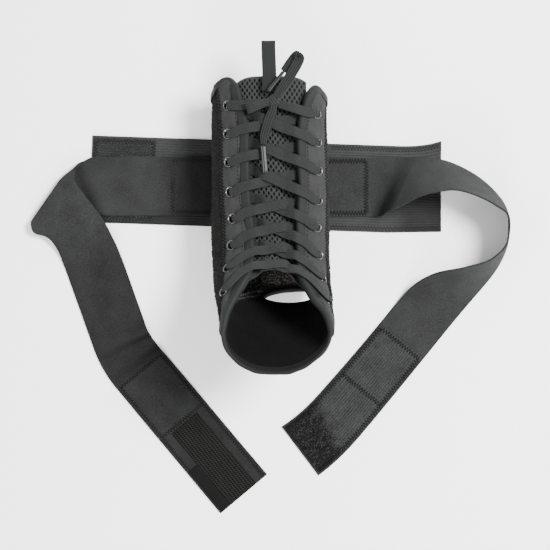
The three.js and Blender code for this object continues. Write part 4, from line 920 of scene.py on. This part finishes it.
# The left strap: drawn flat, then rolled over a slanting crease. Past the crease it lies on itself and on
# the band, and settles on the floor further down.
def onLeft(u, v):
    steps, length = 400, leftStrap["length"]
    knots = np.minimum(1, np.arange(1, steps + 41) / steps)
    headings = pi + np.radians(through(leftStrap["at"], leftStrap["turn"], knots))
    path = walk(np.array([-strapLook["root"], -bandLook["drop"] - 1, 0.0]), headings, length / steps)
    headings = np.concatenate([[pi], headings])
    grid = np.arange(len(path)) * length / steps
    centre = np.stack([np.interp(u, grid, path[:, k]) for k in range(3)], -1)
    heading = np.interp(u, grid, headings)
    side = v * through(leftStrap["at"], leftStrap["width"], np.clip(u / length, 0, 1))
    flat = centre + np.stack([-np.sin(heading), np.cos(heading), 0 * heading], -1) * side[..., None]
    angle, radius = np.radians(leftStrap["crease"]), leftStrap["radius"]
    crease = np.array([-np.cos(angle), -np.sin(angle), 0])
    away = np.array([crease[1], -crease[0], 0])
    origin = np.array([np.interp(leftStrap["fold"], grid, path[:, k]) for k in range(3)])
    offset = flat - origin
    along, past = (offset @ crease)[..., None], (offset @ away)[..., None]
    half = pi * radius
    low = mix(rootZ, patchedZ, smooth((u - 40) / 30))[..., None]
    roll = np.clip(past, 0, half) / radius
    reach = np.where(past < 0, past, np.where(past < half, radius * np.sin(roll), half - past))
    place = origin + crease * along + away * reach
    plain = u - v / np.tan(angle) * nearFold(u)
    for at, across, right, up, spread in leftStrap["tugs"]:
        far = ((plain - at * length) ** 2 + (v - across * strapLook["width"]) ** 2) / spread**2
        place = place + np.exp(-far)[..., None] * np.array([right, up, 0])
    height = low + radius * (1 - np.cos(roll))
    settle = smooth((place[..., 1:2] + bandLook["drop"] + bandLook["width"] / 2 + 38) / 44)
    over = (past >= half)[..., 0]
    wrinkle = leftCreases(u, v, leftStrap["wrinkles"])
    settled = mix(strapLook["thick"] / 2, low + 2 * radius, settle)[..., 0] + wrinkle
    z = np.where(over, settled, height[..., 0])
    return np.stack([place[..., 0], place[..., 1], z], -1)


# Near the fold, rows of the strap run along the crease.
def nearFold(u):
    return smooth(1 - np.abs(u - leftStrap["fold"] - pi * leftStrap["radius"] / 2) / leftStrap["nearFold"])


def leftShear(u, v):
    return u + v / np.tan(np.radians(leftStrap["crease"])) * nearFold(u)


# The right strap: its outer edge follows a path on the floor, and the strap stands up from it by its bank.
def onRight(u, v):
    steps, length = 400, rightStrap["length"]
    share = np.minimum(1, (np.arange(1, steps + 3) - 0.5) / steps)
    headings = np.radians(through(rightStrap["at"], rightStrap["heading"], share))
    path = walk(np.array([strapLook["root"], strapLook["width"] / 2 - bandLook["drop"] - 2, 0.0]), headings,
                length / steps)
    grid = np.arange(len(path)) * length / steps
    foot = np.stack([np.interp(u, grid, path[:, k]) for k in range(3)], -1)
    at = np.clip(u / length, 0, 1)
    heading = np.radians(through(rightStrap["at"], rightStrap["heading"], at))
    bank = np.radians(np.maximum(0, through(rightStrap["at"], rightStrap["bank"], at)))
    over = smooth((bandLook["right"] + 22 - foot[..., 0]) / 20) * (foot[..., 1] > -strapLook["width"])
    side = (v + strapLook["width"] / 2) * through(rightStrap["at"], rightStrap["width"], at)
    lift = over * (bandLook["thick"] + clearance) + strapLook["thick"] / 2 * np.cos(bank)
    return foot + np.stack([np.sin(heading) * np.cos(bank) * side, -np.cos(heading) * np.cos(bank) * side,
                            lift + np.sin(bank) * side], -1)


# The way up from a strap's face, from the slopes along and across it.
def strapNormal(surface, u, v):
    step = 0.05
    along = surface(u + step, v) - surface(u - step, v)
    across = surface(u, v + step) - surface(u, v - step)
    return -unit(np.cross(along, across))


# Places from one edge to the other, close together at the edges.
def closeAtEdges(start, stop, step):
    edges = np.array([0, 0.12, 0.35, 0.8, 1.5])
    between = np.linspace(start + 2.6, stop - 2.6, max(4, int((stop - start) / step)))
    return np.concatenate([start + edges, between, (stop - edges)[::-1]])


def strapWall(name, surface, u0, u1, v0, v1, low, high, material, replaces, shear=None, relief=None,
              step=1.5, roundness=0.7, pit=None):
    u, v = np.meshgrid(closeAtEdges(u0, u1, step), closeAtEdges(v0, v1, step), indexing="ij")
    fromEdge = np.minimum(np.minimum(v - v0, v1 - v), np.minimum(u - u0, u1 - u))
    # The edge is rounded: the thickness grows from the edge like a quarter circle.
    grow = np.sqrt(np.clip(1 - (1 - np.clip(fromEdge / roundness, 0, 1)) ** 2, 0.05, 1))
    cut = shear(u, v) if shear else u
    base, normal = surface(cut, v), strapNormal(surface, cut, v)
    middle, half = (low + high) / 2, (high - low) / 2
    raised = relief(u, v, base) if relief else 0 * u
    outer = base + normal * (middle + half * grow + raised)[..., None]
    inner = base + normal * (middle - half * grow + raised)[..., None]
    uv = np.stack([v, u], -1)
    shades = {"pit": np.concatenate([pit(u, v, base).ravel()] * 2)} if pit else None
    return makeWall(name, outer, inner, gridQuads(*u.shape), uv, material, shades, replaces)


halfStrap, halfThick = strapLook["width"] / 2, strapLook["thick"] / 2


def strapGrain(u, v, base):
    return strapLook["grain"] * lumps(base, 26, 21) * smooth((halfStrap - np.abs(v)) / 5)


# Where the right strap starts to lift from the band it buckles: a steep slanting step, then a long fall.
dent = {"place": 75, "slant": 0.34, "climb": 15, "fall": 45, "height": 9}


def rightRelief(u, v, base):
    past = u - (dent["place"] - dent["slant"] * v)
    step = smooth(past / dent["climb"]) * (1 - smooth((past - dent["climb"] - 8) / dent["fall"]))
    return strapGrain(u, v, base) + dent["height"] * step * mix(0.15, 1, (v + halfStrap) / (2 * halfStrap))


# Painted shade in the dent, up to its crest, where the strap's slope faces away from the light.
def rightDentShade(u, v, base):
    past = u - (dent["place"] - dent["slant"] * v)
    dark = smooth((past + 9) / (dent["climb"] + 5)) * (1 - smooth((past - dent["climb"]) / 4))
    return 0.75 * dark * mix(0.2, 1, (v + halfStrap) / (2 * halfStrap))


# Painted shade on the folded strap: beside the fold's edge, in the tube's shadow, and on the length past the
# fold, where two creases cross it, lighter again towards the end and darker beside the hook, with a little
# random variation. The edge is a slanting line through foldEdge.
foldEdge, foldWay = np.array([-170, 11]), np.array([0.925, 0.38])


def leftStrapShade(u, v, base):
    beside = (base[..., :2] - foldEdge) @ foldWay
    before = 0.6 * (1 - smooth(beside / 13)) * smooth((beside + 4) / 4)
    before = before + 0.45 * smooth((base[..., 0] + 106) / 30)
    crease = leftCreases(u, v, ((.653, .007, .5), (.695, .010, .4)))
    after = 0.42 * smooth((u - 195) / 60) - 0.17 * smooth((u - 325) / 30) + 0.2 * smooth((u - 395)
                                                                                         / 10) + crease
    return np.clip(np.where(u < 172, before, after) + 0.06 * lumps(base, 22, 41), 0, 0.85)


left = strapWall("strap_left_cloth", onLeft, 0, leftStrap["length"], -halfStrap, halfStrap, -halfThick,
                 halfThick,
                 cloth["strap"], ["strap_left"], leftShear, strapGrain, pit=leftStrapShade)
right = strapWall("strap_right_cloth", onRight, 0, rightStrap["length"], -halfStrap, halfStrap, -halfThick,
                  halfThick,
                  cloth["strap"], ["strap_right"], None, rightRelief, pit=rightDentShade)

under = halfThick + clearance
rightEnd, patchLength = rightStrap["length"] - 2, 137


# The loop pile is brushed up and dark over the last stretch, with a ragged border.
def brushed(u, v, base):
    return 0.9 * smooth((u - (rightEnd - 50) + 0.35 * v + 4 * lumps(base, 7, 31)) / 26)


strapWall("strap_patch_cloth", onRight, rightEnd - patchLength, rightEnd, 2 - halfStrap, halfStrap - 2,
          under - 0.2,
          under + 0.7, cloth["loop"], ["strap_patch"], pit=brushed)
leftEnd, hookHalf = leftStrap["length"] - 0.3, 14
strapWall("strap_hook_cloth", onLeft, leftEnd - 81, leftEnd, -hookHalf, hookHalf, under - 0.2, under + 1.0,
          cloth["hook"], ["strap_hook"])
strapWall("strap_label_cloth", onLeft, leftEnd - 46, leftEnd, hookHalf + 1, hookHalf + 10, under - 0.2,
          under + 0.4,
          cloth["satin"], ["strap_label"])


# The cuff band lies flat; its right end curls up at the corners.
def onBand(u, v):
    tilt = np.radians(bandLook["tilt"])
    end = np.clip((u - (bandLook["right"] - 45)) / 45, 0, 1)
    corner = smooth((v - 12) / 24)
    z = bandLook["thick"] / 2 + bandLook["curl"] * end**3 * corner
    y = v + 5.5 * end**3 * corner + 2.4 * end * smooth((-v - 10) / 20)
    u = u + 3 * end * (0.5 - v / bandLook["width"])
    x, y = u * np.cos(tilt) - y * np.sin(tilt), u * np.sin(tilt) + y * np.cos(tilt)
    return np.stack([x, y - bandLook["drop"], z], -1)


# Painted shadow on the band: along the lower edge of the left strap, and where the right strap lifts away
# from it.
def bandShadow(u, v, base):
    x, y = base[..., 0], base[..., 1]
    belowLeft = 0.55 * smooth((-y - 22) / 6) * smooth((-x - 45) / 15)
    return belowLeft + 0.5 * smooth((x - 100) / 25) * smooth((-y - 4) / 12)


halfBand = bandLook["width"] / 2
band = strapWall("cuff_band_cloth", onBand, -bandLook["left"], bandLook["right"], -halfBand, halfBand,
                 -bandLook["thick"] / 2, bandLook["thick"] / 2, cloth["elastic"],
                 ["cuff_band"],
                 pit=bandShadow)
# On the band, up is the other way round from the straps, as it is drawn with v to the left.
patchStart = -bandLook["left"] + 2


def evenNap(u, v, base):
    return 0.35 + 0 * u


strapWall("cuff_patch_cloth", onBand, patchStart, patchStart + 54, 2 - halfBand, halfBand - 2,
          -bandLook["thick"] / 2 - 1.2, -bandLook["thick"] / 2 - 0.1, cloth["loop"],
          ["cuff_patch"],
          pit=evenNap)
print("straps and band made")


# Stitches: short curved lengths of thread along a path that lies on a face. Zigzags swing to both sides.
def stitch(name, runs, material, pitch=2.3, swing=1.6, gauge=0.28, dashes=False):
    allPoints = []
    for points, normals in runs:
        length = np.concatenate([[0], np.cumsum(np.linalg.norm(np.diff(points, axis=0), axis=1))])
        count = max(2, int(length[-1] / (pitch if dashes else pitch / 2)))
        s = np.linspace(0, length[-1], count + 1)
        at = np.stack([np.interp(s, length, points[:, k]) for k in range(3)], -1)
        up = unit(np.stack([np.interp(s, length, normals[:, k]) for k in range(3)], -1))
        side = unit(np.cross(up, np.gradient(at, axis=0)))
        if dashes:
            first, last = at[:-1], mix(at[:-1], at[1:], 0.62)
        else:
            swung = at + side * (swing * (-1.0) ** np.arange(count + 1))[:, None]
            first, last = swung[:-1], swung[1:]
        lift = (up[:-1] + up[1:]) / 2
        t = np.linspace(0, 1, 5)
        arch = (np.sin(pi * t) * 0.35 - 0.08)[None, :, None]
        middle = mix(first[:, None], last[:, None], t[None, :, None]) + lift[:, None] * (arch * gauge * 2)
        across = unit(np.cross(lift, last - first))
        angle = np.linspace(0, 2 * pi, 6, endpoint=False)
        ring = (across[:, None, None] * np.cos(angle)[None, None, :, None]
                + lift[:, None, None] * np.sin(angle)[None, None, :, None]) * gauge
        taper = np.array([0.6, 1, 1, 1, 0.6])[None, :, None, None]
        allPoints.append(middle[:, :, None] + ring * taper)
    points = np.concatenate(allPoints)
    count = len(points)
    one = gridQuads(5, 6, ringColumns=True)
    quads = (one[None] + (np.arange(count) * 30)[:, None, None]).reshape(-1, 4)
    return makeMesh(name, points, quads, material, None, None)


def onQuarter(a, b, edgeB, border, lift):
    run, turn = outline(a, b)
    out = quarterOut(run, turn, b, edgeB, border) + lift
    return layer(run, turn, out), tubeFrame(run, turn)[2]


a = np.linspace(0.03, 0.985, 300)
quarterBorders = (("right", 0.0, tube["rightQuarterEnd"], 1), ("left", 1.0, tube["leftQuarterStart"], -1))
for name, edgeB, border, sign in quarterBorders:
    zig = onQuarter(a, a * 0 + border - sign * 0.010, edgeB, border, 0.35)
    stitch(f"border_stitches_{name}", [zig], thread, pitch=2.8, swing=2.1, gauge=0.33)
    dash = onQuarter(a, a * 0 + edgeB + sign * 0.0285, edgeB, border, 0.12)
    stitch(f"tape_stitches_{name}", [dash], thread, pitch=3.2, gauge=0.24, dashes=True)


def strapLine(surface, us, vs, lift, shear=None):
    cut = shear(us, vs) if shear else us
    return surface(cut, vs) + strapNormal(surface, cut, vs) * lift, strapNormal(surface, cut, vs)


def boxLines(surface, u0, u1, v0, v1, lift, sides="abcd"):
    t = np.linspace(0, 1, 120)
    lines = {"a": (mix(u0, u1, t), 0 * t + v0), "b": (0 * t + u1, mix(v0, v1, t)),
             "c": (mix(u1, u0, t), 0 * t + v1), "d": (0 * t + u0, mix(v1, v0, t))}
    return [strapLine(surface, *lines[k], lift) for k in sides]


inset = halfStrap - 3.2
stitch("strap_stitches_left", [
    *boxLines(onLeft, 4, 58, -inset, inset, -halfThick, "abc"),
    *boxLines(onLeft, leftEnd - 141, leftEnd - 1, -inset, inset, halfThick, "acd"),
    *boxLines(onLeft, leftEnd - 84.5, leftEnd - 84, -inset, inset, halfThick, "b"),
], thread, pitch=2.8, swing=1.9, gauge=0.27)
stitch("strap_stitches_right", [
    *boxLines(onRight, 4, 56, -inset, inset, halfThick, "abc"),
    *boxLines(onRight, rightEnd - 134, rightEnd - 1, -inset + 0.5, inset - 0.5, under + 0.7, "acd"),
    *boxLines(onRight, rightEnd - 81.5, rightEnd - 81, -inset, inset, under + 0.7, "b"),
], thread, pitch=2.6, swing=2.3, gauge=0.3)
patchTop = -bandLook["thick"] / 2 - 1.2
stitch("band_stitches", [
    *boxLines(onBand, patchStart + 2, patchStart + 52, 4.5 - halfBand, halfBand - 4.5, patchTop, "abcd"),
    *boxLines(onBand, 52, bandLook["right"] - 2, 3.4 - halfBand, halfBand - 3.4, -bandLook["thick"] / 2,
              "ac"),
], thread, pitch=2.8, swing=1.8, gauge=0.27)
# Inside the foot, a zigzag and a line of stitches follow the seam of the sole's lining.
turns = np.linspace(pi + 0.15, pi + 1.75, 160)
for name, back, dashes in (("lining_zigzag", 5, False), ("lining_stitches", 0.5, True)):
    seam = soleRun(turns) - back
    inside = layer(seam, turns, -tube["liner"] - 0.3 + 0 * turns)
    stitch(name, [(inside, -tubeFrame(seam, turns)[2])], paleThread, pitch=2.6, swing=1.2, gauge=0.2,
           dashes=dashes)
print("stitches made")

# Floor, camera and lights.
bpy.ops.mesh.primitive_plane_add(size=8)
floor = bpy.context.object
floor.name = "floor"
floorMaterial, tree, output = newMaterial("white paper")
shader = addNode(tree, "ShaderNodeBsdfPrincipled", {"Base Color": (0.93, 0.93, 0.93, 1), "Roughness": 0.9,
                                                    "Specular IOR Level": 0.1})
tree.links.new(shader.outputs[0], output.inputs[0])
floor.data.materials.append(floorMaterial)

camera = bpy.data.objects.new("camera", bpy.data.cameras.new("camera"))
bpy.context.scene.collection.objects.link(camera)
bpy.context.scene.camera = camera
camera.location = (0.004, -0.081, 1.6)
camera.data.lens = 119
camera.data.sensor_width = 36


def areaLight(name, place, aim, size, power):
    light = bpy.data.objects.new(name, bpy.data.lights.new(name, "AREA"))
    light.data.shape = "DISK"
    light.data.size = size
    light.data.energy = power
    light.location = place
    way = np.array(aim) - np.array(place)
    yaw, pitch = np.arctan2(way[1], way[0]), np.arccos(-way[2] / np.linalg.norm(way))
    light.rotation_euler = (0, -pitch, yaw)
    bpy.context.scene.collection.objects.link(light)
    return light


areaLight("key", (1.1, 0.45, 1.8), (0, -0.05, 0), 0.8, 155)
areaLight("fill", (-1.4, -0.6, 1.8), (0, -0.05, 0), 1.6, 20)
areaLight("low", (0.1, -1.5, 0.9), (0, -0.1, 0.05), 0.7, 26)
world = bpy.data.worlds.new("room")
bpy.context.scene.world = world
world.use_nodes = True
world.node_tree.nodes["Background"].inputs[0].default_value = (1, 1, 1, 1)
world.node_tree.nodes["Background"].inputs[1].default_value = 1.25

print("scene ready")
